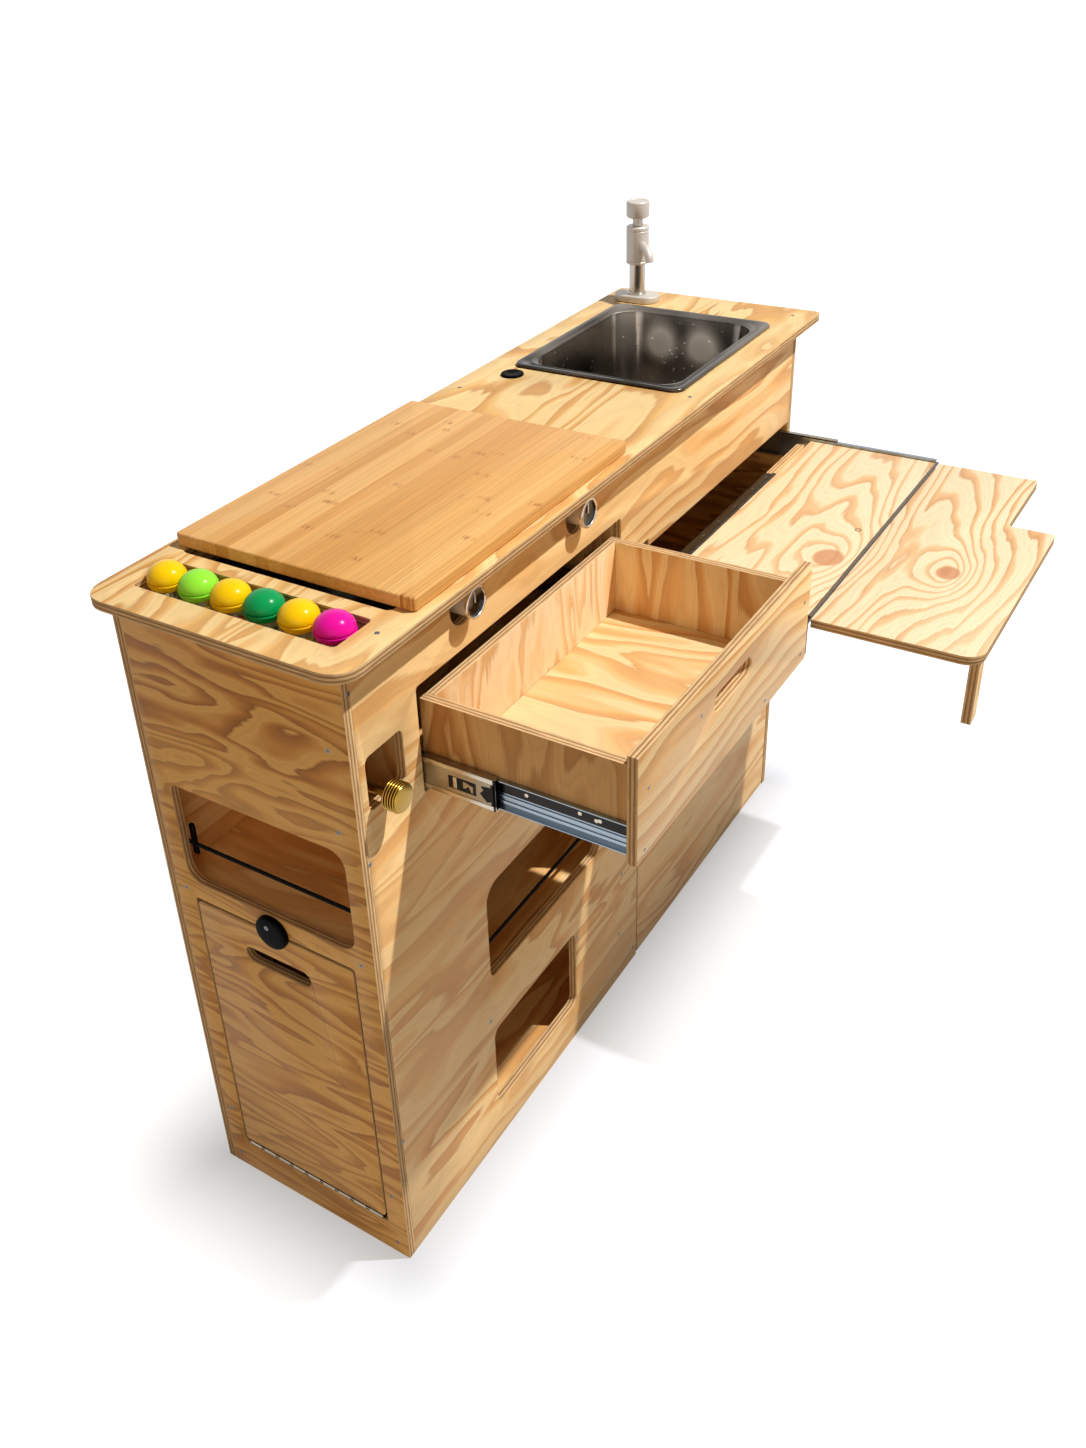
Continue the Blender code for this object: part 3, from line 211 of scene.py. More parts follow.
# Plywood boards
# Every panel is 12 mm pine plywood: rotary-cut faces with a bold flame figure under clear oil,
# and sawn edges that show the thin crossed layers. The boards are screwed through their faces.
MERGE = 0.00001
FLAT = math.radians(1)
ply_thickness, ply_layers = 0.012, 5
layer = ply_thickness / ply_layers
sheet = np.random.default_rng(11)
sheet_reach = 4


def pine_veneer(name, stretch, across, waves, slope, tones, knots=(), clear=0.34):
    """Rotary-cut pine. The knife meets the rings as contour lines of a smooth height: noise
    stretched along the grain, times waves, plus a little fibre noise that roughens the lines,
    plus slope times the distance across. Each line stays pale for the clear share of its
    width, then rises to an amber edge. A knot is a round hill in the height, with a dark
    heart; knots are (along, across, radius)."""
    tree, shader, made = finish(name, {"Roughness": 0.5, "Specular IOR Level": 0.22})
    spot = add(tree, "Attribute", {"attribute_name": "veneer"}).outputs["Vector"]
    axes = add(tree, "SeparateXYZ", {0: spot}).outputs
    laid = add(tree, "Mapping", {"Scale": (stretch, across, 1), "Vector": spot})
    rings = {"Scale": 1, "Detail": 2.6, "Roughness": 0.45, "Distortion": 0.4, "Vector": laid}
    height = add(tree, "Math.MULTIPLY", {0: add(tree, "TexNoise", rings), 1: waves})
    fine = add(tree, "Mapping", {"Scale": (14, 700, 1), "Vector": spot})
    fibre = add(tree, "TexNoise", {"Scale": 1, "Detail": 3, "Vector": fine})
    height = add(tree, "Math.MULTIPLY_ADD", {0: fibre, 1: 0.22, 2: height})
    height = add(tree, "Math.MULTIPLY_ADD", {0: axes[1], 1: slope, 2: height})
    heart = None
    for along, side, radius in knots:
        for reach, squeeze in ((radius * 2.0, 0.5), (radius, 0.8)):
            centre = (-along / reach * squeeze, -side / reach, 0)
            scale = (squeeze / reach, 1 / reach, 0)
            away = add(tree, "Mapping", {"Location": centre, "Scale": scale, "Vector": spot})
            far = add(tree, "VectorMath.LENGTH", {0: away}).outputs["Value"]
            if reach > radius:
                square = add(tree, "Math.MULTIPLY_ADD", {0: far, 1: far, 2: 1.0})
                hill = add(tree, "Math.DIVIDE", {0: 6.0, 1: square})
                height = add(tree, "Math.ADD", {0: height, 1: hill})
        core = add(tree, "MapRange", {"span": (0.92, 0.74, 0, 0.8), "Value": far})
        heart = core if heart is None else add(tree, "Math.MAXIMUM", {0: heart, 1: core})
    line = add(tree, "Math.FRACT", {0: height})
    pale, amber, dark = tones
    stops = [(0.0, pale), (clear, pale), (0.45 + clear / 2, amber), (0.92, dark), (1.0, pale)]
    band = add(tree, "ValToRGB", {"stops": stops, 0: line})
    thin = add(tree, "Math.MULTIPLY", {0: height, 1: 4})
    thin = add(tree, "Math.FRACT", {0: thin})
    faint = add(tree, "MapRange", {"span": (0.5, 1.0, 1.02, 0.93), "Value": thin})
    broad = add(tree, "Mapping", {"Scale": (1.3, 3.6, 1), "Location": (5, 3, 0), "Vector": spot})
    clouds = add(tree, "TexNoise", {"Scale": 1.6, "Detail": 2, "Vector": broad})
    depth = add(tree, "MapRange", {"span": (0.35, 0.7, 0.55, 1.0), "Value": clouds})
    base = add(tree, "Mix", {"data_type": "RGBA", 0: depth, 6: srgb(pale), 7: band})
    streak = add(tree, "MapRange", {"span": (0.3, 0.7, 0.90, 1.05), "Value": fibre})
    streak = add(tree, "Math.MULTIPLY", {0: streak, 1: faint})
    colour = add(tree, "VectorMath.SCALE", {0: base.outputs[2], 3: streak})
    if heart is not None:
        mixed = {"data_type": "RGBA", 0: heart, 6: colour, 7: srgb("c3865d")}
        colour = add(tree, "Mix", mixed).outputs[2]
    join(colour, shader.inputs["Base Color"])
    add(tree, "MapRange", {"span": (0, 1, 0.42, 0.58), "Value": fibre}, shader.inputs["Roughness"])
    relief = {"Strength": 0.25, "Distance": 0.0004, "Height": fibre}
    add(tree, "Bump", relief, shader.inputs["Normal"])
    return made


def ply_edge():
    """A sawn plywood edge: five layers in 12 mm, light ones along the cut and darker ones that
    show their end grain, with a thin glue line between, and saw streaks along the edge."""
    settings = {"Roughness": 0.75, "Specular IOR Level": 0.15}
    tree, shader, made = finish("sawn_plywood_edge", settings)
    spot = add(tree, "Attribute", {"attribute_name": "veneer"}).outputs["Vector"]
    axes = add(tree, "SeparateXYZ", {0: spot}).outputs
    laid = add(tree, "Mapping", {"Scale": (45, 45, 420), "Vector": spot})
    rough = add(tree, "TexNoise", {"Scale": 1, "Detail": 3, "Vector": laid})
    turn = add(tree, "Math.MULTIPLY_ADD", {0: axes[2], 1: 1 / (2 * layer), 2: 0.25})
    wander = add(tree, "Math.MULTIPLY_ADD", {0: rough, 1: 0.22, 2: turn})
    light, brown, glue = "e3c69b", "b98b5c", "6b4726"
    stops = [(0.0, glue), (0.05, light), (0.58, light), (0.615, glue), (0.66, brown)]
    stops += [(0.95, brown), (1.0, glue)]
    layers = add(tree, "ValToRGB", {"stops": stops, 0: add(tree, "Math.FRACT", {0: wander})})
    streak = add(tree, "MapRange", {"span": (0.3, 0.7, 0.78, 1.12), "Value": rough})
    add(tree, "VectorMath.SCALE", {0: layers, 3: streak}, shader.inputs["Base Color"])
    relief = {"Strength": 0.5, "Distance": 0.0005, "Height": layers}
    add(tree, "Bump", relief, shader.inputs["Normal"])
    return made


def shown(mesh, surface, body, node=None, ease=0.0):
    """Shows a mesh as a piece of the same name: its surface, the body that carries it, the node
    of the frame that it stands for, and the ease of its edges."""
    made = bpy.data.objects.new(mesh.name, mesh)
    scene.collection.objects.link(made)
    mesh.materials.append(surface)
    if ease:
        bevel = made.modifiers.new("eased", "BEVEL")
        bevel.width = ease
        bevel.segments = 2
        bevel.limit_method = "ANGLE"
        bevel.harden_normals = True
    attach(made, body)
    if node:
        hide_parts(node)
    return made


def corners(node):
    """A node's lowest and highest corners at rest."""
    return np.array([list(corner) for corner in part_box(node)])


def vectors(items, name):
    """A property of a mesh's points or faces as rows of three numbers."""
    values = np.empty(len(items) * 3)
    items.foreach_get(name, values)
    return values.reshape(-1, 3)


def clad(node, grain, face, offset=None, saw=0.0):
    """A board of the frame with eased edges. Each point's veneer place is its distance from the
    board's middle along the grain, across it and through the board, shifted so that no two
    boards share one figure. Saw is what the blade took off each edge of a door."""
    low, high = corners(node)
    middle, half = (low + high) / 2, (high - low) / 2
    through = int(np.argmin(half))
    across = 3 - grain - through
    work = bmesh.new()
    work.from_mesh(frame["nodes"][node].data)
    bmesh.ops.remove_doubles(work, verts=work.verts, dist=MERGE)
    bmesh.ops.dissolve_limit(work, angle_limit=FLAT, verts=work.verts, edges=work.edges)
    mesh = bpy.data.meshes.new(node + "_ply")
    work.to_mesh(mesh)
    work.free()
    places = vectors(mesh.vertices, "co")
    if saw:
        trim = np.full(3, saw)
        trim[through] = 0
        places = middle + (places - middle) * (half - trim) / half
        mesh.vertices.foreach_set("co", places.ravel())
    veneer = (places - middle)[:, [grain, across, through]]
    veneer[:, :2] += sheet.uniform(-sheet_reach, sheet_reach, 2) if offset is None else offset
    kept = mesh.attributes.new("veneer", "FLOAT_VECTOR", "POINT")
    kept.data.foreach_set("vector", veneer.ravel())
    sawn = np.abs(vectors(mesh.polygons, "normal")[:, through]) < 0.7
    shown(mesh, face, body_of(frame["nodes"][node])[0], node, 0.0006)
    mesh.materials.append(edge_wood)
    mesh.polygons.foreach_set("material_index", sawn.astype(np.int32))
    mesh.polygons.foreach_set("use_smooth", np.ones(len(mesh.polygons), bool))


edge_wood = ply_edge()
# The end panels' bold figure is their own; their darker, browner tones are partly painted shade.
bold = pine_veneer("pine_veneer_bold", 3.2, 15, 9, 0, ("efbd70", "cf9046", "a0642c"))
topmost = pine_veneer("pine_veneer_worktop", 2.8, 11, 8, 4, ("f1d39b", "dfaa60", "c58a48"))
# Pale tones, partly the pine's own and partly painted light that brightens the lit front.
plain = pine_veneer("pine_veneer_plain", 2.0, 11, 7, 10, ("ffdca2", "efb66c", "d2934f"))
flame = pine_veneer("pine_veneer_flame", 2.4, 10, 7, 6, ("f0d8aa", "e6b472", "cd9256"))
pale = pine_veneer("pine_veneer_pale", 2.4, 12, 7, 8, ("ffe6bf", "f6cd94", "dfab6c"))
# Painted shade: a darker copy of the lined veneer, for the drawer's near side in shade.
brown = pine_veneer("pine_veneer_lined_painted_shade", 2.6, 11, 7, 14, ("dcb27a", "c89356", "a9723c"))
lined = pine_veneer("pine_veneer_lined", 2.6, 11, 7, 14, ("f6dcae", "e4b06c", "c68a4b"))
banded = pine_veneer("pine_veneer_banded", 2.4, 9, 5, 38, ("f8d8a6", "e5ac68", "bd7e3e"))
X, Y, Z = range(3)
blade = 0.0009
for node, grain, face, saw in [
    ("worktop", X, topmost, 0),
    ("front_panel", X, plain, 0),
    ("end_panel_near", Y, bold, 0),
    ("end_panel_far", Y, bold, 0),
    ("back_panel", X, plain, 0),
    ("base_panel", X, plain, 0),
    ("partition_top", Z, plain, 0),
    ("partition_mid", Z, plain, 0),
    ("partition_low", Z, plain, 0),
    ("shelf_drawer", X, plain, 0),
    ("shelf_end", Y, plain, 0),
    ("shelf_cubby", X, plain, 0),
    ("end_door", Y, bold, blade),
    ("front_door", X, plain, blade),
    ("drawer_front", X, banded, 0),
    ("drawer_side_near", Z, brown, 0),
    ("drawer_side_far", Z, lined, 0),
    ("drawer_back", Z, pale, 0),
    ("drawer_bottom", Y, flame, 0),
    ("table_cheek_near", Y, plain, 0),
    ("table_cheek_far", Y, plain, 0),
    ("table_rail", X, plain, 0),
    ("table_leg", Z, plain, 0),
]:
    clad(node, grain, face, saw=saw)


# Table panel and leaf
# Both are cut from one board with two knots. The grain runs along the pod, over the fold.
table_middle = corners("table_panel").mean(0)
leaf_shift = corners("table_leaf").mean(0) - table_middle
knot_places = [((0.1829, -0.3648), 0.024), ((0.2115, -0.5151), 0.018)]
knots = [(x - table_middle[0], y - table_middle[1], radius) for (x, y), radius in knot_places]
knotted_tones = ("f5e0bf", "e6ba85", "cb965f")
knotted = pine_veneer("pine_veneer_knotted", 2.2, 11, 7.0, 38, knotted_tones, knots, 0.55)
clad("table_panel", X, knotted, (0, 0))
clad("table_leaf", X, knotted, leaf_shift[:2])


# Chopping board
# A bamboo board of strips glued edge to edge lies over the hob and lifts off. Each strip has
# its own tone, long dark fibres, and the short marks where the cane's joints were.
strip_width, joint_pitch = 0.019, 0.24


def bamboo():
    """Strips along the board: a strip's number picks its tone and where its joints fall, and
    fine fibre runs along all of them."""
    tree, shader, made = finish("oiled_bamboo", {"Roughness": 0.42, "Specular IOR Level": 0.3})
    spot = add(tree, "TexCoord").outputs["Object"]
    axes = add(tree, "SeparateXYZ", {0: spot}).outputs
    turn = add(tree, "Math.MULTIPLY", {0: axes[1], 1: 1 / strip_width})
    number = add(tree, "Math.FLOOR", {0: turn})
    dice = add(tree, "TexWhiteNoise", {"noise_dimensions": "1D", "W": number})
    slide = add(tree, "Math.MULTIPLY_ADD", {0: axes[0], 1: 1 / joint_pitch, 2: dice})
    cane = add(tree, "Math.FRACT", {0: slide})
    joint = add(tree, "MapRange", {"span": (0.475, 0.5, 0, 1), "Value": cane})
    after = add(tree, "MapRange", {"span": (0.53, 0.5, 0, 1), "Value": cane})
    mark = add(tree, "Math.MULTIPLY", {0: joint, 1: after})
    fine = add(tree, "Mapping", {"Scale": (5, 420, 420), "Vector": spot})
    fibre = add(tree, "TexNoise", {"Scale": 1, "Detail": 3, "Vector": fine})
    broken = add(tree, "Mapping", {"Scale": (50, 330, 0), "Vector": spot})
    dashes = add(tree, "TexNoise", {"Scale": 1, "Detail": 2, "Vector": broken})
    dash = add(tree, "MapRange", {"span": (0.48, 0.62, 0, 1), "Value": dashes})
    knuckle = add(tree, "Math.MULTIPLY", {0: mark, 1: dash})
    stops = [(0.0, "d99f55"), (0.5, "e4ae66"), (1.0, "eebe79")]
    tone = add(tree, "ValToRGB", {"stops": stops, 0: dice})
    streak = add(tree, "MapRange", {"span": (0.3, 0.7, 0.80, 1.08), "Value": fibre})
    shade = add(tree, "VectorMath.SCALE", {0: tone, 3: streak})
    mixed = {"data_type": "RGBA", 0: knuckle, 6: shade, 7: srgb("a85f22")}
    join(add(tree, "Mix", mixed).outputs[2], shader.inputs["Base Color"])
    relief = {"Strength": 0.15, "Distance": 0.0003, "Height": fibre}
    add(tree, "Bump", relief, shader.inputs["Normal"])
    return made


def tidy(mesh):
    """Merges doubled points at poles and seams, turns faces outwards, and shades the surface
    smooth but for its sharp edges."""
    work = bmesh.new()
    work.from_mesh(mesh)
    bmesh.ops.remove_doubles(work, verts=work.verts, dist=MERGE)
    bmesh.ops.recalc_face_normals(work, faces=work.faces)
    work.to_mesh(mesh)
    work.free()
    mesh.polygons.foreach_set("use_smooth", np.ones(len(mesh.polygons), bool))
    mesh.set_sharp_from_angle(angle=math.radians(35))
    return mesh


def skin(name, rows, wrap=False):
    """Joins a grid of points with four-sided faces. Each row closes on itself, and with wrap
    the last row joins the first."""
    high, wide = rows.shape[:2]
    index = np.arange(high * wide).reshape(high, wide)
    start = index if wrap else index[:-1]
    following = np.roll(index, -1, 0) if wrap else index[1:]
    faces = np.stack([start, np.roll(start, -1, 1), np.roll(following, -1, 1), following], -1)
    mesh = bpy.data.meshes.new(name)
    mesh.from_pydata(rows.reshape(-1, 3).tolist(), [], faces.reshape(-1, 4).tolist())
    return tidy(mesh)


def capped(rows):
    """The rows with each end drawn in to its middle, which closes the surface."""
    ends = np.repeat(rows[[0, -1]].mean(1, keepdims=True), rows.shape[1], 1)
    return np.concatenate([ends[:1], rows, ends[1:]])


def soft_rectangles(middle, half, sections, steps=8):
    """Loops round a rectangle with round corners, one for each section (inset, radius, z). A
    point lies at its corner's centre, half minus inset minus radius out along both axes, plus
    radius times (cosine t, sine t), where t runs through the corner's quarter turn."""
    sections = np.array(sections, float)
    quarter = np.repeat(np.arange(4), steps + 1)
    t = (quarter + np.tile(np.arange(steps + 1) / steps, 4)) * math.pi / 2
    signs = np.array([(1, 1), (-1, 1), (-1, -1), (1, -1)])[quarter]
    inset, radius, z = (sections[:, k, None] for k in range(3))
    rows = np.empty((len(sections), len(t), 3))
    rows[..., 0] = middle[0] + signs[:, 0] * (half[0] - inset - radius) + radius * np.cos(t)
    rows[..., 1] = middle[1] + signs[:, 1] * (half[1] - inset - radius) + radius * np.sin(t)
    rows[..., 2] = z
    return rows


def slab(name, low, high, corner, ease):
    """A block with round corners and eased rims: its sections follow a quarter circle of the
    ease at the top and at the foot, and its ends shrink to the middle to close."""
    t = np.linspace(0, math.pi / 2, 5)
    inset = ease * (1 - np.cos(t))
    lift = ease * (1 - np.sin(t))
    foot = np.stack([inset[::-1], corner - inset[::-1], low[2] + lift[::-1]], -1)
    head = np.stack([inset, corner - inset, high[2] - lift], -1)
    middle, half = (low + high)[:2] / 2, (high - low)[:2] / 2
    return skin(name, capped(soft_rectangles(middle, half, np.concatenate([foot, head]))))


board = slab("bamboo_board", *corners("chopping_board"), 0.005, 0.0025)
shown(board, bamboo(), "chopping_board", "chopping_board")


# Spice jars
# Six glass jars stand in a thin plywood tray under the worktop. Their glossy domed plastic lids
# stand out of the slot: the front one magenta, then yellow, green, yellow, lime and yellow.
def lathed(centre, axis, profile, steps):
    """Rows of points round an axis: at angle t a point lies at the centre, plus its height
    along the axis, plus its radius times (cosine t, sine t) across it."""
    profile = np.array(profile, float)
    turn = np.arange(steps) * math.tau / steps
    rows = np.empty((len(profile), steps, 3))
    rows[..., (axis + 1) % 3] = profile[:, :1] * np.cos(turn)
    rows[..., (axis + 2) % 3] = profile[:, :1] * np.sin(turn)
    rows[..., axis] = profile[:, 1:]
    return rows + np.array(centre)


def turned(
    name, centre, axis, profile, surface, body, slot, node=None, steps=64, wrap=False, ease=0.0
):
    """Shows a piece of revolution, made with that many steps round its axis. Wrap is for a ring
    whose profile closes on itself."""
    mesh = skin(name, lathed(centre, axis, profile, steps), wrap)
    shown(mesh, surface, body, node, ease)


def centre_line(node, axis):
    """A node's middle, moved along the axis to zero, from where profile heights are measured."""
    middle = corners(node).mean(0)
    middle[axis] = 0
    return middle


def arc(centre, radii, start, stop, count):
    """Points (radius, height) on an ellipse round a centre, from one angle to another."""
    t = np.radians(np.linspace(start, stop, count))
    return np.stack([centre[0] + radii[0] * np.cos(t), centre[1] + radii[1] * np.sin(t)], -1)


def moulded(name, code, roughness, gloss, coat=0.0):
    """Moulded plastic: one colour with slight cloudiness, and a fine skin whose grit is too
    small to see but breaks up the gloss."""
    settings = {"Roughness": roughness, "Coat Weight": coat, "Specular IOR Level": gloss}
    tree, shader, made = finish(name, settings)
    spot = add(tree, "TexCoord").outputs["Object"]
    clouds = add(tree, "TexNoise", {"Scale": 60, "Detail": 3, "Vector": spot})
    shift = add(tree, "MapRange", {"span": (0, 1, 0.93, 1.05), "Value": clouds})
    add(tree, "VectorMath.SCALE", {0: srgb(code)[:3], 3: shift}, shader.inputs["Base Color"])
    grit = add(tree, "TexNoise", {"Scale": 900, "Detail": 2, "Vector": spot})
    relief = {"Strength": 0.3, "Distance": 0.00004, "Height": grit}
    add(tree, "Bump", relief, shader.inputs["Normal"])
    return made


def clear_glass():
    """Soda-lime jar glass: clear, smooth, faintly green."""
    settings = {"Base Color": srgb("f2faf5"), "Roughness": 0.02, "IOR": 1.5}
    tree, shader, made = finish("jar_glass", {**settings, "Transmission Weight": 1})
    spot = add(tree, "TexCoord").outputs["Object"]
    ripple = add(tree, "TexNoise", {"Scale": 90, "Detail": 1, "Vector": spot})
    relief = {"Strength": 0.05, "Distance": 0.0002, "Height": ripple}
    add(tree, "Bump", relief, shader.inputs["Normal"])
    return made


def ground_spice(name, light, dark):
    """Ground and flaked spice: grains about 1 mm across in two tones."""
    tree, shader, made = finish(name, {"Roughness": 0.9})
    spot = add(tree, "TexCoord").outputs["Object"]
    grains = add(tree, "TexVoronoi", {"Scale": 900, "Vector": spot})
    mixed = {"stops": [(0.2, dark), (0.7, light)], 0: grains.outputs["Color"]}
    add(tree, "ValToRGB", mixed, shader.inputs["Base Color"])
    relief = {"Strength": 0.6, "Distance": 0.0008, "Height": grains}
    add(tree, "Bump", relief, shader.inputs["Normal"])
    return made


clad("spice_tray", Y, plain)
jar_glass = clear_glass()
lid_codes = {"magenta": "ee08ac", "yellow": "ffd400", "green": "009f58", "lime": "98f440"}
lid_finishes = {
    colour: moulded(f"{colour}_lid_plastic", code, 0.22, 0.15) for colour, code in lid_codes.items()
}
spices = [
    ground_spice("paprika", "b4522a", "7c2c14"),
    ground_spice("turmeric", "d69a28", "a86c14"),
    ground_spice("dried_herbs", "7c7a3c", "4c4c22"),
]
worktop_top = 0.900
rim = worktop_top + 0.0006
lid_radius, lid_edge, groove_depth, lid_foot = 0.0222, 0.0006, 0.0024, rim - 0.0138
neck, wall = rim - 0.0100, 0.0014
glass = lid_radius - 0.0018
mouth, inner, fill = glass - 0.0046, glass - wall, glass - wall - 0.0004
lid_colours = ["magenta", "yellow", "green", "yellow", "lime", "yellow"]
for number, colour, spice in zip(range(1, 7), lid_colours, spices * 2):
    node, look = f"jar_{number}", f"lid_{colour}"
    foot, top = corners(node)[:, 2]
    centre = centre_line(node, Z)
    dome = arc((0, rim), (lid_radius - lid_edge, top - rim), 90, 0, 17)[1:]
    groove = [(lid_radius - groove_depth, rim - z) for z in (0.0006, 0.0014)]
    skirt = arc((lid_radius - 0.0010, rim - 0.0028), (0.0010, 0.0014), 70, -70, 7)
    under = arc((0, rim - 0.0042), (lid_radius - lid_edge, 0.0110), 0, -62, 9)
    plug = [(0.008, lid_foot), (0, lid_foot)]
    lid = np.concatenate([[(0, top)], dome, groove, skirt, under, plug])
    turned(f"lid_{number}", centre, Z, lid, lid_finishes[colour], node, look, node, steps=48)
    heel = arc((glass - 0.003, foot + 0.003), (0.003, 0.003), -90, 0, 5)
    shoulder = arc((glass - 0.004, neck - 0.012), (0.004, 0.006), 0, 70, 5)
    outside = [[(0, foot)], heel, [(glass, neck - 0.012)], shoulder, [(mouth, neck)]]
    lining = [(mouth - wall, neck), (inner - 0.0036, neck - 0.007), (inner, neck - 0.014)]
    lining += [(inner, foot + 0.004), (0, foot + 0.003)]
    jar = np.concatenate([*outside, lining])
    turned(f"jar_glass_{number}", centre, Z, jar, jar_glass, node, look, steps=48)
    heap = [(0, foot + 0.0034), (fill, foot + 0.0044), (fill, neck - 0.030)]
    heap += [(fill * 0.6, neck - 0.0285), (0, neck - 0.0275)]
    turned(f"spice_{number}", centre, Z, heap, spice, node, look, steps=48)


# Sink
# A small caterer's sink, deep-drawn from brushed stainless steel sheet, dropped into the
# worktop on its rim, with a waste and strainer in the middle of its floor.
def brushed_metal(name, code, roughness, grain, depth=0.00006, metallic=1.0):
    """Metal brushed along an axis: hair lines long that way and about 0.5 mm across, and soft
    patches where hands and water have dulled it."""
    tree, shader, made = finish(name, {"Metallic": metallic})
    spot = add(tree, "TexCoord").outputs["Object"]
    scale = [700.0, 700.0, 700.0]
    if grain is not None:
        scale[grain] = 14.0
    laid = add(tree, "Mapping", {"Scale": scale, "Vector": spot})
    hair = add(tree, "TexNoise", {"Scale": 1, "Detail": 3, "Vector": laid})
    patches = add(tree, "TexNoise", {"Scale": 14, "Detail": 4, "Vector": spot})
    dull = {"span": (0.3, 0.7, roughness * 0.8, roughness * 1.3), "Value": patches}
    add(tree, "MapRange", dull, shader.inputs["Roughness"])
    streak = add(tree, "MapRange", {"span": (0.3, 0.7, 0.92, 1.04), "Value": hair})
    add(tree, "VectorMath.SCALE", {0: srgb(code)[:3], 3: streak}, shader.inputs["Base Color"])
    relief = {"Strength": 0.25, "Distance": depth, "Height": hair}
    add(tree, "Bump", relief, shader.inputs["Normal"])
    return made


def drawn_steel(start, end, rim, painted_highlights, spread):
    """Deep-drawn steel with painted light: dark walls, lighter from start to end along the sink,
    which is painted shade; painted highlights at round places, soft out to the spread, where the
    steel is also rougher and less metallic; a painted dark reflection on the rim; and pin-head
    drops of water that catch the light."""
    tree, shader, made = finish("deep_drawn_sink_steel", {"Metallic": 1})
    spot = add(tree, "TexCoord").outputs["Object"]
    axes = add(tree, "SeparateXYZ", {0: spot}).outputs
    clouds = add(tree, "TexNoise", {"Scale": 9, "Detail": 1, "Vector": spot})
    # Painted shade: the walls darken from the far end towards the near end.
    along = add(tree, "MapRange", {"span": (start, end, -0.26, 0.14), "Value": axes[0]})
    level = add(tree, "Math.ADD", {0: along, 1: clouds})
    # Painted highlights: bright round places on the far wall, soft out to the spread.
    for place in painted_highlights:
        away = add(tree, "VectorMath.DISTANCE", {0: spot, 1: place}).outputs["Value"]
        fall = {"interpolation_type": "SMOOTHSTEP", "span": (spread, 0, 0, 0.85), "Value": away}
        level = add(tree, "Math.ADD", {0: level, 1: add(tree, "MapRange", fall)})
    # Tones from painted shade through mid grey to painted highlight.
    stops = [(0.15, "524d48"), (0.48, "8a8279"), (0.80, "c4bbb0"), (1.0, "fff6ea")]
    tone = add(tree, "ValToRGB", {"stops": stops, 0: level})
    laid = add(tree, "Mapping", {"Scale": (700, 700, 20), "Vector": spot})
    hair = add(tree, "TexNoise", {"Scale": 1, "Detail": 2, "Vector": laid})
    streak = add(tree, "MapRange", {"span": (0.3, 0.7, 0.94, 1.04), "Value": hair})
    # Painted dark reflection: the top few millimetres of the rim are darker.
    painted_dark_rim = add(tree, "MapRange", {"span": (rim - 0.009, rim - 0.003, 1.0, 0.50), "Value": axes[2]})
    painted_dark_rim = add(tree, "Math.MULTIPLY", {0: painted_dark_rim, 1: streak})
    add(tree, "VectorMath.SCALE", {0: tone, 3: painted_dark_rim}, shader.inputs["Base Color"])
    # The painted highlights also make the steel rougher and less metallic there.
    dull, painted_highlight_metallic = (0.1, 0.8, 0.12, 0.42), (0.75, 1.45, 1.0, 0.45)
    add(tree, "MapRange", {"span": dull, "Value": level}, shader.inputs["Roughness"])
    add(tree, "MapRange", {"span": painted_highlight_metallic, "Value": level}, shader.inputs["Metallic"])
    cells = add(tree, "TexVoronoi", {"Scale": 75, "Vector": spot})
    drops = add(tree, "MapRange", {"span": (0.16, 0.08, 0, 1), "Value": cells})
    relief = {"Strength": 0.8, "Distance": 0.0006, "Height": drops}
    add(tree, "Bump", relief, shader.inputs["Normal"])
    return made


sink_low, sink_high = corners("sink_bowl")
rim_top = sink_high[2]
# Places of the painted highlights on the sink's far wall.
painted_highlights = [(0.488, 0.036, 0.858), (0.488, -0.034, 0.858)]
sink_steel = drawn_steel(sink_low[0], sink_high[0], rim_top, painted_highlights, 0.045)
sink_half = (sink_high - sink_low)[:2] / 2
sink_middle = (sink_high + sink_low)[:2] / 2
seat, bowl_depth, gauge = rim_top - 0.0047, 0.148, 0.001
bowl_floor = rim_top - bowl_depth + gauge
mouth, wall_foot, foot_radius, drain = 0.017, 0.025, 0.018, 0.018
flange_corner, lip_corner, bowl_corner = 0.016, 0.024, 0.040
rolled = arc((0.0022, rim_top - 0.0022), (-0.0022, 0.0022), 0, 90, 6)
lip = arc((mouth - 0.003, rim_top - 0.0045), (0.003, 0.0030), 90, 0, 6)
foot_middle = (wall_foot + foot_radius, bowl_floor + foot_radius)
corner_foot = arc(foot_middle, (-foot_radius, -foot_radius), 0, 90, 10)
widening = np.linspace(lip_corner, bowl_corner, len(lip))
sections = [(0.0, flange_corner, seat)]
sections += [(inset, flange_corner, z) for inset, z in rolled]
sections += [(0.0055, 0.018, rim_top), (0.0075, 0.020, rim_top - 0.0008)]
sections += [(0.0120, 0.023, rim_top - 0.0036)]
sections += [(inset, corner, z) for corner, (inset, z) in zip(widening, lip)]
sections += [(inset, bowl_corner, z) for inset, z in corner_foot]
rows = soft_rectangles(sink_middle, sink_half, sections, 12)
around = np.arctan2(rows[-1, :, 1] - sink_middle[1], rows[-1, :, 0] - sink_middle[0])
waste = [(drain + 0.020, bowl_floor - 0.0008), (drain + 0.002, bowl_floor - 0.0018)]
waste += [(drain, bowl_floor - 0.004), (drain, sink_low[2])]
rings = np.empty((len(waste), rows.shape[1], 3))
radii, heights = np.array(waste).T[..., None]
rings[..., 0] = sink_middle[0] + radii * np.cos(around)
rings[..., 1] = sink_middle[1] + radii * np.sin(around)
rings[..., 2] = heights
pressing = skin("sink_pressing", np.concatenate([rows, rings]))
bowl = shown(pressing, sink_steel, "carcass", "sink_bowl")
sheet_steel = bowl.modifiers.new("sheet", "SOLIDIFY")
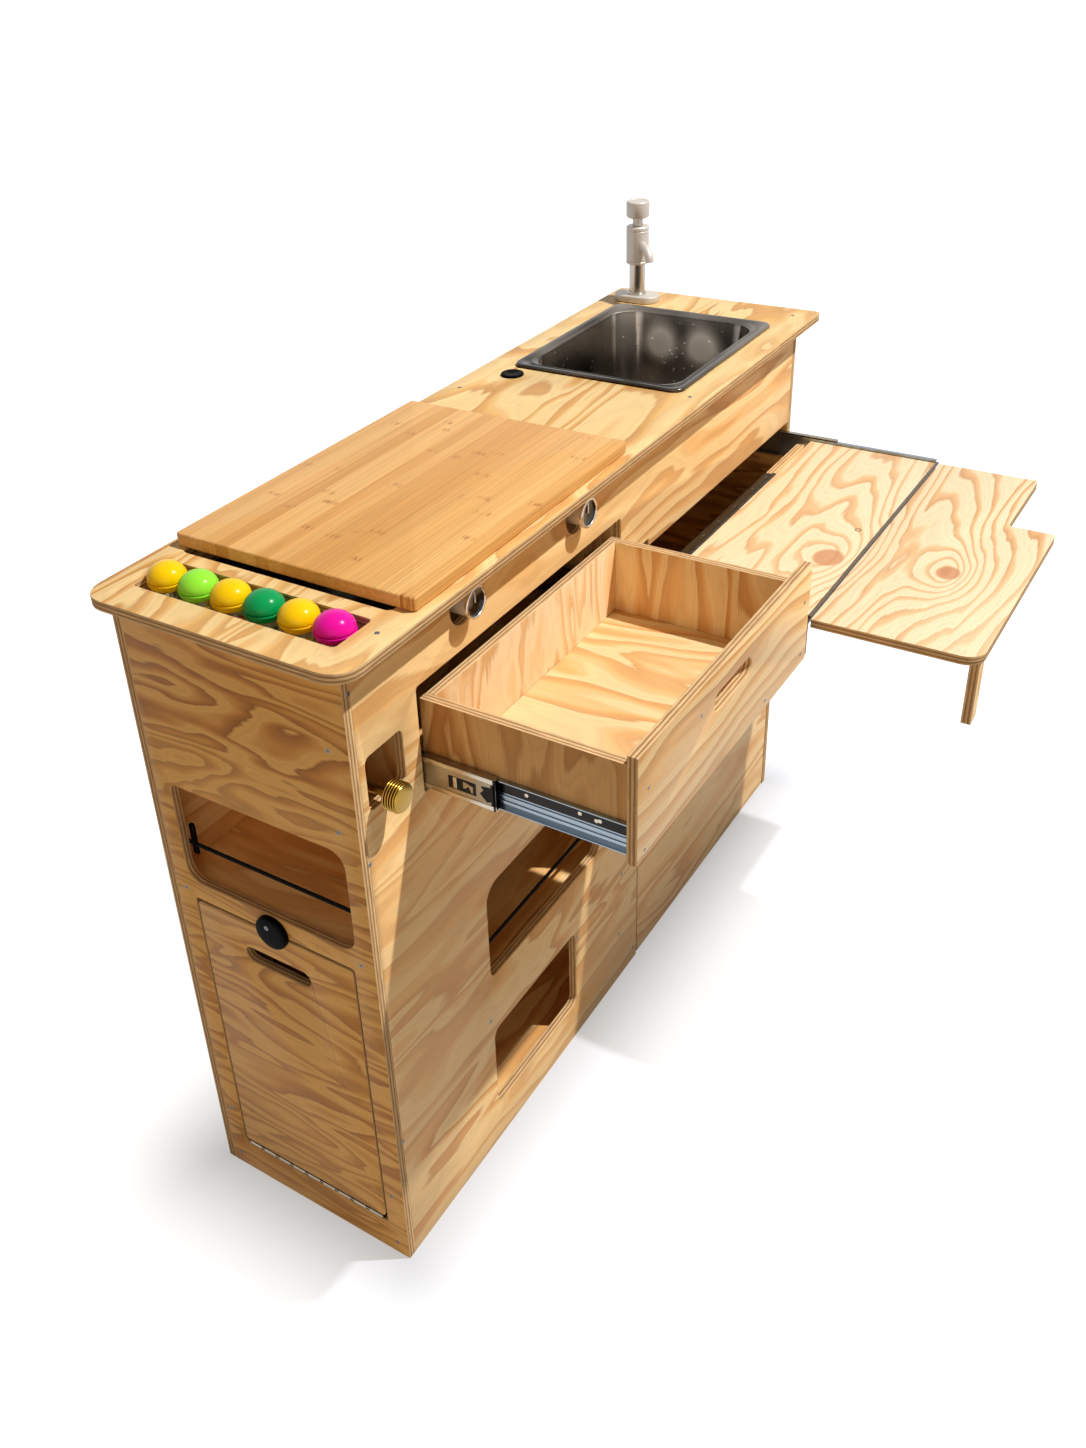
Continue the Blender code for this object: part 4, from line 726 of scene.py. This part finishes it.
sheet_steel.thickness = gauge
sheet_steel.offset = -1
cup = bowl_floor - 0.0035
strainer = [(0, 0.0030), (0.0020, 0.0030), (0.0030, 0), (0.0135, -0.0015), (0.0150, 0.0010)]
strainer += [(0.0168, 0.0012), (0.0168, -0.0040), (0, -0.0040)]
cup_middle = [*sink_middle, cup]
kind = (sink_steel, "carcass", "steel")
turned("sink_strainer", cup_middle, Z, strainer, *kind, steps=48, ease=0.0002)


# Grommet cap
# A black plastic cap closes the cord hole beside the sink: a domed flange over a plug.
black_plastic = moulded("black_abs", "060606", 0.38, 0.02)
low, high = corners("grommet_cap")
radius, top, flange, rounding = (high - low)[0] / 2, high[2], high[2] - 0.003, 0.0018
plug_radius = radius - 0.0035
domed = [(0, top - 0.0006), (radius * 0.45, top - 0.0006), (radius * 0.52, top)]
edge = arc((radius - rounding, top - rounding), (rounding, rounding), 90, 0, 5)
plug = [(radius, flange), (plug_radius, flange), (plug_radius, low[2]), (0, low[2])]
cap = np.concatenate([domed, edge, plug])
kind = (black_plastic, "grommet_cap", "black_plastic", "grommet_cap")
turned("grommet_lid", centre_line("grommet_cap", Z), Z, cap, *kind, steps=48)


# Hand pump tap
# A lift pump in satin chrome: a long base plate held by two screws, a polished column, a sleeve
# with a bent spout that turns on it, and a rod with a flat knob that is pressed to draw water.
satin = brushed_metal("satin_chrome", "d2cdc8", 0.40, None, 0.000008, 0.35)
polished = brushed_metal("polished_chrome", "b5aea6", 0.18, Z, 0.00001)
base_low, base_high = corners("tap_base")
tap = centre_line("tap_base", Z)
plate_top = base_low[2] + 0.011
plate_corner = (base_high - base_low)[0] / 2 - 0.0003
plate = slab("tap_plate", base_low, np.array([*base_high[:2], plate_top]), plate_corner, 0.0018)
shown(plate, satin, "carcass", "tap_base")
foot, head = corners("tap_spout")[:, 2]
column, collar, rod, column_top = 0.0127, 0.0149, 0.0078, foot - 0.0003
stub_top = column_top + 0.0225
profile = [(0, plate_top - 0.003), (collar, plate_top - 0.003), (collar, plate_top + 0.0022)]
profile += [(column, plate_top + 0.0030), (column, column_top), (rod, column_top)]
profile += [(rod, stub_top), (0, stub_top)]
turned("tap_column", tap, Z, profile, polished, "carcass", "chrome", ease=0.0003)
sleeve, bore = 0.0178, 0.0082
low_groove, high_groove = sleeve - 0.0007, sleeve - 0.0006
profile = [(bore, foot), (sleeve - 0.0012, foot), (sleeve, foot + 0.0010), (sleeve, foot + 0.0035)]
profile += [(low_groove, foot + 0.0042), (low_groove, foot + 0.0052), (sleeve, foot + 0.0059)]
profile += [(sleeve, head - 0.0075), (high_groove, head - 0.0070), (high_groove, head - 0.0062)]
profile += [(sleeve, head - 0.0057), (sleeve, head - 0.0014)]
profile += [(sleeve - 0.0014, head), (bore, head)]
kind = (satin, "tap_spout", "chrome", "tap_spout")
turned("tap_sleeve", tap, Z, profile, *kind, wrap=True, ease=0.0002)


def swept(path, side, radii, steps=24):
    """A round section carried along a path: at each point the ring spans the fixed side vector
    and the path's tangent crossed with it, times that point's radius."""
    path, side = np.array(path, float), np.array(side, float)
    tangent = np.gradient(path, axis=0)
    tangent /= np.linalg.norm(tangent, axis=1, keepdims=True)
    other = np.cross(tangent, side)
    turn = (np.arange(steps) * math.tau / steps)[None, :, None]
    ring = np.cos(turn) * side + np.sin(turn) * other[:, None, :]
    return path[:, None, :] + np.asarray(radii, float)[:, None, None] * ring


spout_turn, spout_reach, spout_drop, spout_rise = math.radians(235), 0.041, 0.020, 0.030
spout_root, spout_tip = 0.0074, 0.0062
root = (bore + sleeve) / 2
bend = np.linspace(0, math.pi / 2, 15)
out = root + (spout_reach - root) * np.sin(bend)
rise = foot + spout_rise - spout_drop * (1 - np.cos(bend))
along, aside = math.cos(spout_turn), math.sin(spout_turn)
spout_path = np.stack([tap[0] + out * along, tap[1] + out * aside, rise], -1)
spout_rows = swept(spout_path, (-aside, along, 0), np.linspace(spout_root, spout_tip, len(bend)))
nozzle_middle = spout_rows[-1].mean(0)
nozzle = spout_rows[-1] - nozzle_middle
mouth_rings = [(0.72, 0.0), (0.70, 0.006)]
lining = [nozzle_middle + nozzle * share + (0, 0, deep) for share, deep in mouth_rings]
spout = skin("tap_spout_tube", capped(np.concatenate([spout_rows, lining])))
shown(spout, satin, "tap_spout")
pump_foot, knob_top = corners("tap_knob")[:, 2]
knob, knob_foot, rounding = 0.018, knob_top - 0.0256, 0.0022
stem = [(0, pump_foot), (rod, pump_foot), (rod, knob_foot), (knob - 0.0035, knob_foot)]
stem += [(knob - 0.0010, knob_foot + 0.0012), (knob, knob_foot + 0.0035), (knob, knob_top - 0.0035)]
edge = arc((knob - rounding, knob_top - rounding), (rounding, rounding), 0, 90, 6)
dish = [(knob - 0.0050, knob_top), (knob - 0.0056, knob_top - 0.0005), (0, knob_top - 0.0008)]
profile = np.concatenate([stem, edge, dish])
turned("pump_rod_and_knob", tap, Z, profile, satin, "tap_knob", "chrome", "tap_knob")


# Hob and its knobs
# The hob lies under the board: a pressed steel well, two burners with black enamel caps, and
# fins that carry a pan. Its knobs are black plastic in a bright ring, with a dished face.
def coated(node, surface):
    """Gives a node of the frame, whose shape stays, its surface."""
    slots = frame["nodes"][node].data.materials
    slots.clear()
    slots.append(surface)


def flat_plate(name, low, high, axis, corner, ease):
    """A thin plate with round corners that faces along an axis: the slab is made upright and
    its coordinates are then cycled onto that axis."""
    order = {X: [2, 0, 1], Y: [0, 2, 1], Z: [0, 1, 2]}[axis]
    low, high = np.array(low, float), np.array(high, float)
    cycled = [order.index(k) for k in range(3)]
    mesh = slab(name, low[cycled], high[cycled], corner, ease)
    mesh.vertices.foreach_set("co", vectors(mesh.vertices, "co")[:, order].ravel())
    return tidy(mesh)


coated("hob", brushed_metal("pressed_hob_steel", "9c9a97", 0.30, X))
enamel = moulded("black_enamel", "0f0f10", 0.22, 0.35, 0.3)
bright = brushed_metal("bright_knob_ring", "cfccc8", 0.16, None, 0.00001)
glossy_black = moulded("glossy_black_knob_face", "0a0a0b", 0.12, 0.5)
hob_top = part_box("hob")[1].z - 0.0185
rounding = 0.0027
edge = arc((0.0275, hob_top - rounding), (rounding, rounding), 90, 0, 6)
rebate = [(0.0302, hob_top - 0.0040), (0.0290, hob_top - 0.0042), (0, hob_top - 0.0042)]
cap = np.concatenate([[(0, hob_top)], edge, rebate])
cap_lift = 0.0004
for side in ("near", "far"):
    burner = [centre_line(f"hob_knob_{side}", Y)[0], 0, cap_lift]
    turned(f"burner_cap_{side}", burner, Z, cap, enamel, "carcass", "steel")
grip, ring, rounding = 0.0165, 0.0188, 0.0012
for side in ("near", "far"):
    node = f"hob_knob_{side}"
    face, back = corners(node)[:, 1]
    centre = centre_line(node, Y)
    lip = [(grip - 0.0010, face + 0.0008), (grip - 0.0004, face)]
    edge = arc((ring - rounding, face + rounding), (rounding, rounding), -90, 0, 5)
    ring_back = [(ring, face + 0.0040), (grip - 0.0010, face + 0.0040)]
    profile = np.concatenate([lip, edge, ring_back])
    turned(f"knob_ring_{side}", centre, Y, profile, bright, node, "chrome", node, wrap=True)
    hollow = arc((0, face + 0.0008), (grip - 0.0012, 0.0028), 90, 12, 9)
    disc = [(grip - 0.0006, face + 0.0008), (grip - 0.0006, face + 0.0060), (0, face + 0.0060)]
    dish = np.concatenate([hollow, disc])
    turned(f"knob_face_{side}", centre, Y, dish, glossy_black, node, "black_plastic")
    profile = [(0, face + 0.0050), (grip, face + 0.0030), (grip, face + 0.0290)]
    profile += [(grip - 0.0012, face + 0.0310), (0.004, face + 0.0310), (0.004, back), (0, back)]
    turned(f"knob_grip_{side}", centre, Y, profile, satin, node, "chrome", node)
    pointer_low = (centre[0] - 0.0012, face + 0.0020, centre[2] - 0.0005)
    pointer_high = (centre[0] + 0.0012, face + 0.0032, centre[2] + 0.0125)
    pointer = flat_plate(f"knob_pointer_{side}", pointer_low, pointer_high, Y, 0.0009, 0.0003)
    shown(pointer, bright, node)


# Drawer and table runners
# Four ball-bearing runners of zinc-plated pressed steel, each in three telescoping parts. The
# middle parts are punched with windows, shown by thin black plates that are painted shade, and
# carry the black catch that keeps them in step.
zinc = brushed_metal("zinc_plated_steel", "a39b8c", 0.28, Y)
# The inner parts' blue tint is a painted reflection of the sky on zinc-plated steel.
zinc_painted_sky = brushed_metal("zinc_with_painted_sky_reflection", "98a4ae", 0.24, Y)
for owner in ("drawer", "table"):
    for member, face in (("outer", zinc), ("middle", zinc), ("inner", zinc_painted_sky)):
        for side in ("near", "far"):
            coated(f"{owner}_runner_{member}_{side}", face)


def joined(name, parts):
    """Several meshes as one."""
    work = bmesh.new()
    for part in parts:
        work.from_mesh(part)
        bpy.data.meshes.remove(part)
    mesh = bpy.data.meshes.new(name)
    work.to_mesh(mesh)
    work.free()
    return tidy(mesh)


def thickness(web, outward, depth):
    """The lower and higher x of a plate that stands out from a web."""
    return sorted((web, web + outward * depth))


def strip(face, at, y, z, depth, corner=0.0006, ease=0.0003):
    """A thin plate on a runner's face, which is its x and the way that it looks. The plate's
    limits in y and z are measured from a point of the face."""
    x = thickness(*face, depth)
    low, high = zip(x, at[0] + np.array(y), at[1] + np.array(z))
    return flat_plate("strip", low, high, X, corner, min(ease, depth * 0.45))


def cut_out(outline, x_low, x_high):
    """A flat piece with a straight-sided outline of (y, z) points, from one x to another."""
    count = len(outline)
    points = [(x, y, z) for x in (x_low, x_high) for y, z in outline]
    sides = [(k, (k + 1) % count, count + (k + 1) % count, count + k) for k in range(count)]
    mesh = bpy.data.meshes.new("cut_out")
    mesh.from_pydata(points, [], [tuple(range(count)), tuple(range(count, 2 * count)), *sides])
    return tidy(mesh)


catch_plastic = moulded("black_catch_plastic", "121213", 0.5, 0.2)
bright_zinc = brushed_metal("rolled_runner_lip", "c2baa9", 0.22, Y, 0.00002)
painted_shade_steel = brushed_metal("runner_steel_painted_shade", "2c2a28", 0.25, Y)
latch = np.array([(0, -13.5), (5, -13.5), (5, -9), (10, -11), (19, -2), (14, 3.5), (17, 7)])
latch = np.concatenate([latch, [(5, 8.5), (5, 13.5), (0, 13.5)]]) / 1000
hook = np.array([(27.5, -6), (30, -6), (33, 1), (37.5, -3), (40, -3), (40, 5), (37, 5)])
hook = np.concatenate([hook, [(27.5, 2)]]) / 1000
runner_sheet, rivet_radius, rivet_rise = 0.0012, 0.0024, 0.0007
rivet_places = ((0.034, 0.0080), (0.038, 0.0070), (0.057, 0.0090), (0.120, 0.0080))
lip_heights = ((0.0140, 0.0200), (-0.0200, -0.0140))
rib_heights = ((-0.0055, -0.0015), (-0.0125, -0.0085))
for owner, inner_body in (("drawer", "drawer"), ("table", "table_carriage")):
    middle_body = f"{owner}_middles"
    for side, outward in (("near", -1), ("far", 1)):
        low, high = corners(f"{owner}_runner_middle_{side}")
        face = (low[0] if outward < 0 else high[0], outward)
        at, length = (low[1], (low[2] + high[2]) / 2), high[1] - low[1]
        lips = [strip(face, at, (0, length), z, 0.0007) for z in lip_heights]
        lips.append(strip(face, at, (0.0485, 0.0530), (-0.0070, 0.0070), 0.0006))
        # Painted shade: a thin black plate where the punched window shows the dark behind.
        painted_window_shade = strip(face, at, (0.0240, 0.0590), (-0.0085, 0.0075), 0.0002)
        arrow = cut_out(latch + at, *thickness(*face, 0.0008))
        bar = strip(face, at, (0, 0.0025), (-0.0200, 0.0200), 0.0008)
        plate = cut_out(hook + at, *thickness(*face, 0.0005))
        low, high = corners(f"{owner}_runner_inner_{side}")
        face = (high[0] - runner_sheet if outward < 0 else low[0] + runner_sheet, outward)
        at, length = (low[1], at[1]), high[1] - low[1]
        # Painted shade: a black strip on the inner part's upper half, under its top flange.
        race = strip(face, at, (0, length), (0.0010, 0.0160), 0.0003)
        ribs = [strip(face, at, (0, length), z, 0.0014, 0.0006, 0.0006) for z in rib_heights]
        rivets = []
        for spot in np.array(rivet_places):
            y, z = np.stack([spot - rivet_radius, spot + rivet_radius], -1)
            rivets.append(strip(face, at, y, z, rivet_rise, 0.0023))
        for piece, parts, surface, body, slot in [
            ("lips", lips, bright_zinc, middle_body, "zinc"),
            ("catch", [painted_window_shade, arrow, bar], catch_plastic, middle_body, "black_plastic"),
            ("hook", [plate], zinc, middle_body, "zinc"),
            ("race", [race], painted_shade_steel, inner_body, "zinc"),
            ("ribs", ribs, zinc_painted_sky, inner_body, "zinc"),
            ("rivets", rivets, bright_zinc, inner_body, "zinc"),
        ]:
            shown(joined(f"{owner}_runner_{side}_{piece}", parts), surface, body)


# Table hole
# A black moulded disc, let into the table panel where it has a small hole: its black is
# painted shade of the hole's inside.
hole_place, hole_radius, top = (0.2799, -0.3721), 0.0044, corners("table_panel")[1, 2]
socket = [(0, -0.0004), (hole_radius - 0.0012, -0.0004), (hole_radius - 0.0008, 0.0004)]
socket += [(hole_radius, 0.0002), (hole_radius, -0.0010), (0, -0.0010)]
kind = (black_plastic, "table_panel", "black_plastic")
turned("table_hole_painted_shade", [*hole_place, top], Z, socket, *kind, steps=24)


# Hinges
# Piano hinges of steel strip: one folds the leaf over the table panel, one lets the panel tilt
# on its rail, and one drops the end door. Each has a knuckled barrel and screwed leaves.
def barrel(axis, place, radius, span, knuckle, groove=0.0004, waist=0.8):
    """Rows of a knuckled barrel: short cylinders of equal length, each eased at its ends, with
    a groove between them down to the waist, a share of the radius."""
    count = max(2, round((span[1] - span[0]) / knuckle))
    edges = np.linspace(span[0], span[1], count + 1)
    ease, half = 0.0003, groove / 2
    profile = [(0, edges[0])]
    for a, b in zip(edges[:-1], edges[1:]):
        profile += [(radius - ease, a + half), (radius, a + half + ease)]
        profile += [(radius, b - half - ease), (radius - ease, b - half)]
        if b < edges[-1]:
            profile += [(radius * waist, b - half), (radius * waist, b + half)]
    profile.append((0, edges[-1]))
    return lathed(place, axis, profile, 20)


def hinge(node, axis, pin, radius, cut, leaf, steels, body):
    """A piano hinge for a node: its barrel on the pin, cut into knuckles (their length, groove
    and waist), and its leaf (low and high corner, facing axis, corner radius)."""
    rows = barrel(axis, pin, radius, corners(node)[:, axis], *cut)
    shown(skin(node + "_barrel", rows), steels[0], body, node)
    shown(flat_plate(node + "_strip", *leaf, 0.0002), steels[1], body)


dark_steel = brushed_metal("blued_hinge_steel", "4a4744", 0.34, X)
fold_steel = brushed_metal("fold_hinge_steel", "73685c", 0.36, X)
leaf_gauge = 0.0012
low, high = corners("leaf_hinge")
pin = (0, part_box("table_leaf")[1].y + 0.003, high[2] - 0.0025)
leaf = ((low[0], pin[1] + 0.0015, low[2]), (high[0], pin[1] + 0.0027, pin[2]), Y, 0.0008)
hinge("leaf_hinge", X, pin, 0.0025, (0.025,), leaf, (fold_steel, dark_steel), "table_panel")
low, high = corners("rail_hinge")
pin = (0, low[1] + 0.003, high[2] - 0.003)
leaf = ((low[0], pin[1], pin[2] - leaf_gauge), (high[0], high[1], pin[2]), Z, 0.0010)
hinge("rail_hinge", X, pin, 0.003, (0.030, 0.0016), leaf, (dark_steel,) * 2, "table_carriage")
low, high = corners("door_hinge")
pin = (low[0] + 0.00275, 0, 0.0565)
leaf = ((pin[0], low[1], low[2]), (high[0], high[1], low[2] + leaf_gauge), Z, 0.0008)
hinge("door_hinge", Y, pin, 0.0019, (0.024, 0.0060, 0.35), leaf, (zinc, dark_steel), "carcass")


# Screws
# Small countersunk screws with a cross recess, set flush through the faces of the boards.
def screw_rows(radius):
    """A screw head as rings of points: a low dome, cut by a cross whose four arms sink along
    the quarter turns."""
    share = np.array([0, 0.12, 0.30, 0.50, 0.58, 0.70, 0.92, 1.0])[:, None]
    turn = np.arange(32) * math.tau / 32
    dome, proud, recess, skirt = 0.00035, 0.00012, -0.0002, -0.0003
    in_cross = (np.abs(np.sin(2 * turn)) < 0.5) & (share < 0.55)
    height = np.where(in_cross, recess, dome * (1 - share**2) + proud)
    height[-1] = skirt
    return np.stack([radius * share * np.cos(turn), radius * share * np.sin(turn), height], -1)


def screws(name, spots, axis, sign, body, radius):
    """One mesh of screw heads at the spots, all facing along one axis."""
    facing = screw_rows(radius)[..., {X: [2, 0, 1], Y: [1, 2, 0], Z: [0, 1, 2]}[axis]]
    facing[..., axis] *= sign
    mesh = joined(name, [skin("head", facing + spot) for spot in np.array(spots, float)])
    if vectors(mesh.polygons, "normal")[:, axis].mean() * sign < 0:
        mesh.flip_normals()
    shown(mesh, screw_zinc, body)


screw_zinc = brushed_metal("zinc_screw_heads", "6d7276", 0.30, None)
x0, y0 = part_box("end_panel_near")[0].x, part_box("front_panel")[0].y
front_marks = [(0.5758, 0.2054), (0.5688, 0.0905), (0.6157, 0.0242), (0.4390, 0.1910)]
front_marks += [(0.0125, 0.6423), (0.0125, 0.2100), (0.0102, 0.8560), (0.5750, 0.6400)]
front_marks.append((0.2110, 0.2300))
window_mark = (0.2809, 0.4988)
end_marks = [(0.0193, 0.5003), (0.0263, 0.7864), (0.0271, 0.6827), (0.0180, 0.1100)]
end_marks += [(0.2850, 0.1100), (0.0180, 0.0200), (0.2850, 0.0200)]
near_marks = [*end_marks[:3], window_mark, *end_marks[3:]]
top_marks = [(0.0579, -0.0039), (0.7620, -0.0020), (1.1500, 0.0060), (0.6600, 0.3020)]
top_marks.append((1.1500, 0.3020))
back_marks = [(x, z) for x in (0.006, 0.211, 0.575, 0.860, 1.151) for z in (0.05, 0.40, 0.84)]
drawer_marks = [(0.1403, 0.7524), (0.1340, 0.6800), (0.2610, 0.7650), (0.5500, 0.7550)]
drawer_marks += [(0.5500, 0.6830), (0.4400, 0.6800)]
rail_places = (0.6300, 0.6865, 0.7512, 0.8017, 0.8592, 0.9259, 0.9750)
rail_marks = [(x, -0.0335) for x in rail_places]
large, small, smallest = 0.0030, 0.0028, 0.0026
for name, axis, sign, face, body, radius, marks in [
    ("front", Y, -1, y0, "carcass", large, front_marks),
    ("near_end", X, -1, x0, "carcass", large, near_marks),
    ("far_end", X, 1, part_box("end_panel_far")[1].x, "carcass", large, end_marks),
    ("worktop", Z, 1, worktop_top, "carcass", large, top_marks),
    ("back", Y, 1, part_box("back_panel")[1].y, "carcass", large, back_marks),
    ("drawer", Y, -1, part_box("drawer_front")[0].y, "drawer", smallest, drawer_marks),
    ("rail", Z, 1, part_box("rail_hinge")[1].z - 0.003, "table_carriage", small, rail_marks),
]:
    spots = np.insert(np.array(marks), axis, 0, axis=1) + (x0, y0, 0)
    spots[:, axis] = face
    screws(f"screws_{name}", spots, axis, sign, body, radius)


# Turn button
# A turned black disc screwed through its edge: it swings over the end door to hold it shut.
low, high = corners("turn_button")
middle = centre_line("turn_button", X)
radius, face, back = (high - low)[1] / 2, low[0], high[0]
edge = arc((radius - 0.0030, face + 0.0034), (0.0030, 0.0030), -80, 0, 7)
foot = [(radius, back - 0.0008), (radius - 0.0008, back), (0, back)]
button = np.concatenate([[(0, face), (radius * 0.6, face + 0.0002)], edge, foot])
kind = (black_plastic, "turn_button", "black_plastic", "turn_button")
turned("turn_button_disc", middle, X, button, *kind)
screw_spot = (face, middle[1] + 0.0036, middle[2] + 0.008)
screws("turn_button_screw", [screw_spot], X, -1, "turn_button", 0.0032)


# Elastic cords
# Two black elastic cords keep loose things in: one behind the near end's window, with a
# moulded clip at its back end, and one behind the upper cubby's window.
def braided_cord():
    """Round elastic in a woven sleeve: black threads about 0.6 mm wide crossing both ways."""
    settings = {"Roughness": 0.85, "Specular IOR Level": 0.1}
    tree, shader, made = finish("black_braided_elastic", settings)
    spot = add(tree, "TexCoord").outputs["Object"]
    weave = add(tree, "TexVoronoi", {"Scale": 900, "Vector": spot})
    threads = {"stops": [(0.0, "060606"), (1.0, "1a1a1b")], 0: weave}
    add(tree, "ValToRGB", threads, shader.inputs["Base Color"])
    relief = {"Strength": 0.8, "Distance": 0.0004, "Height": weave}
    add(tree, "Bump", relief, shader.inputs["Normal"])
    return made


elastic = braided_cord()
cord_radius, cord_points = 0.0024, 9
for node, along in (("bungee_end", Y), ("bungee_front", X)):
    low, high = corners(node)
    path = np.repeat((low + high)[None] / 2, cord_points, 0)
    path[:, along] = np.linspace(low[along], high[along], cord_points)
    cord = capped(swept(path, (0, 0, 1), np.full(cord_points, cord_radius), 16))
    shown(skin(f"{node}_cord", cord), elastic, "carcass", node)
low, high = corners("bungee_end")
clip_low = (high[0] - 0.0048, high[1] - 0.0170, low[2] - 0.0120)
clip_high = (high[0] - 0.0014, high[1] - 0.0090, high[2] + 0.0280)
clip = flat_plate("cord_clip", clip_low, clip_high, X, 0.0030, 0.0006)
shown(clip, black_plastic, "carcass")


# Brass knob
# A ribbed cap turned from brass bar, on a spindle that runs to the back of its window.
brass = brushed_metal("turned_brass", "a38138", 0.24, None, 0.00001)
face, back = corners("brass_knob")[:, 1]
cap_radius, length, ribs, rib_depth, spindle, washer = 0.0170, 0.018, 5, 0.0028, 0.0055, 0.012
first_rib, cap_back, washer_front = face + 0.0020, face + length, back - 0.006
pitch = (length - 0.0020) / ribs
rim_in = cap_radius - 0.0016
profile = [(0, face), (cap_radius - 0.0030, face), (rim_in, face + 0.0004)]
profile.append((cap_radius - 0.0010, face + 0.0014))
for k in range(ribs):
    rib_middle = (cap_radius - rib_depth, first_rib + pitch * k + pitch * 0.40)
    profile += arc(rib_middle, (rib_depth, pitch * 0.34), -88, 88, 9).tolist()
profile += [(rim_in, cap_back), (spindle, cap_back), (spindle, washer_front)]
profile += [(washer, washer_front), (washer, back), (0, back)]
kind = (brass, "brass_knob", "brass", "brass_knob")
turned("brass_cap", centre_line("brass_knob", Y), Y, profile, *kind)
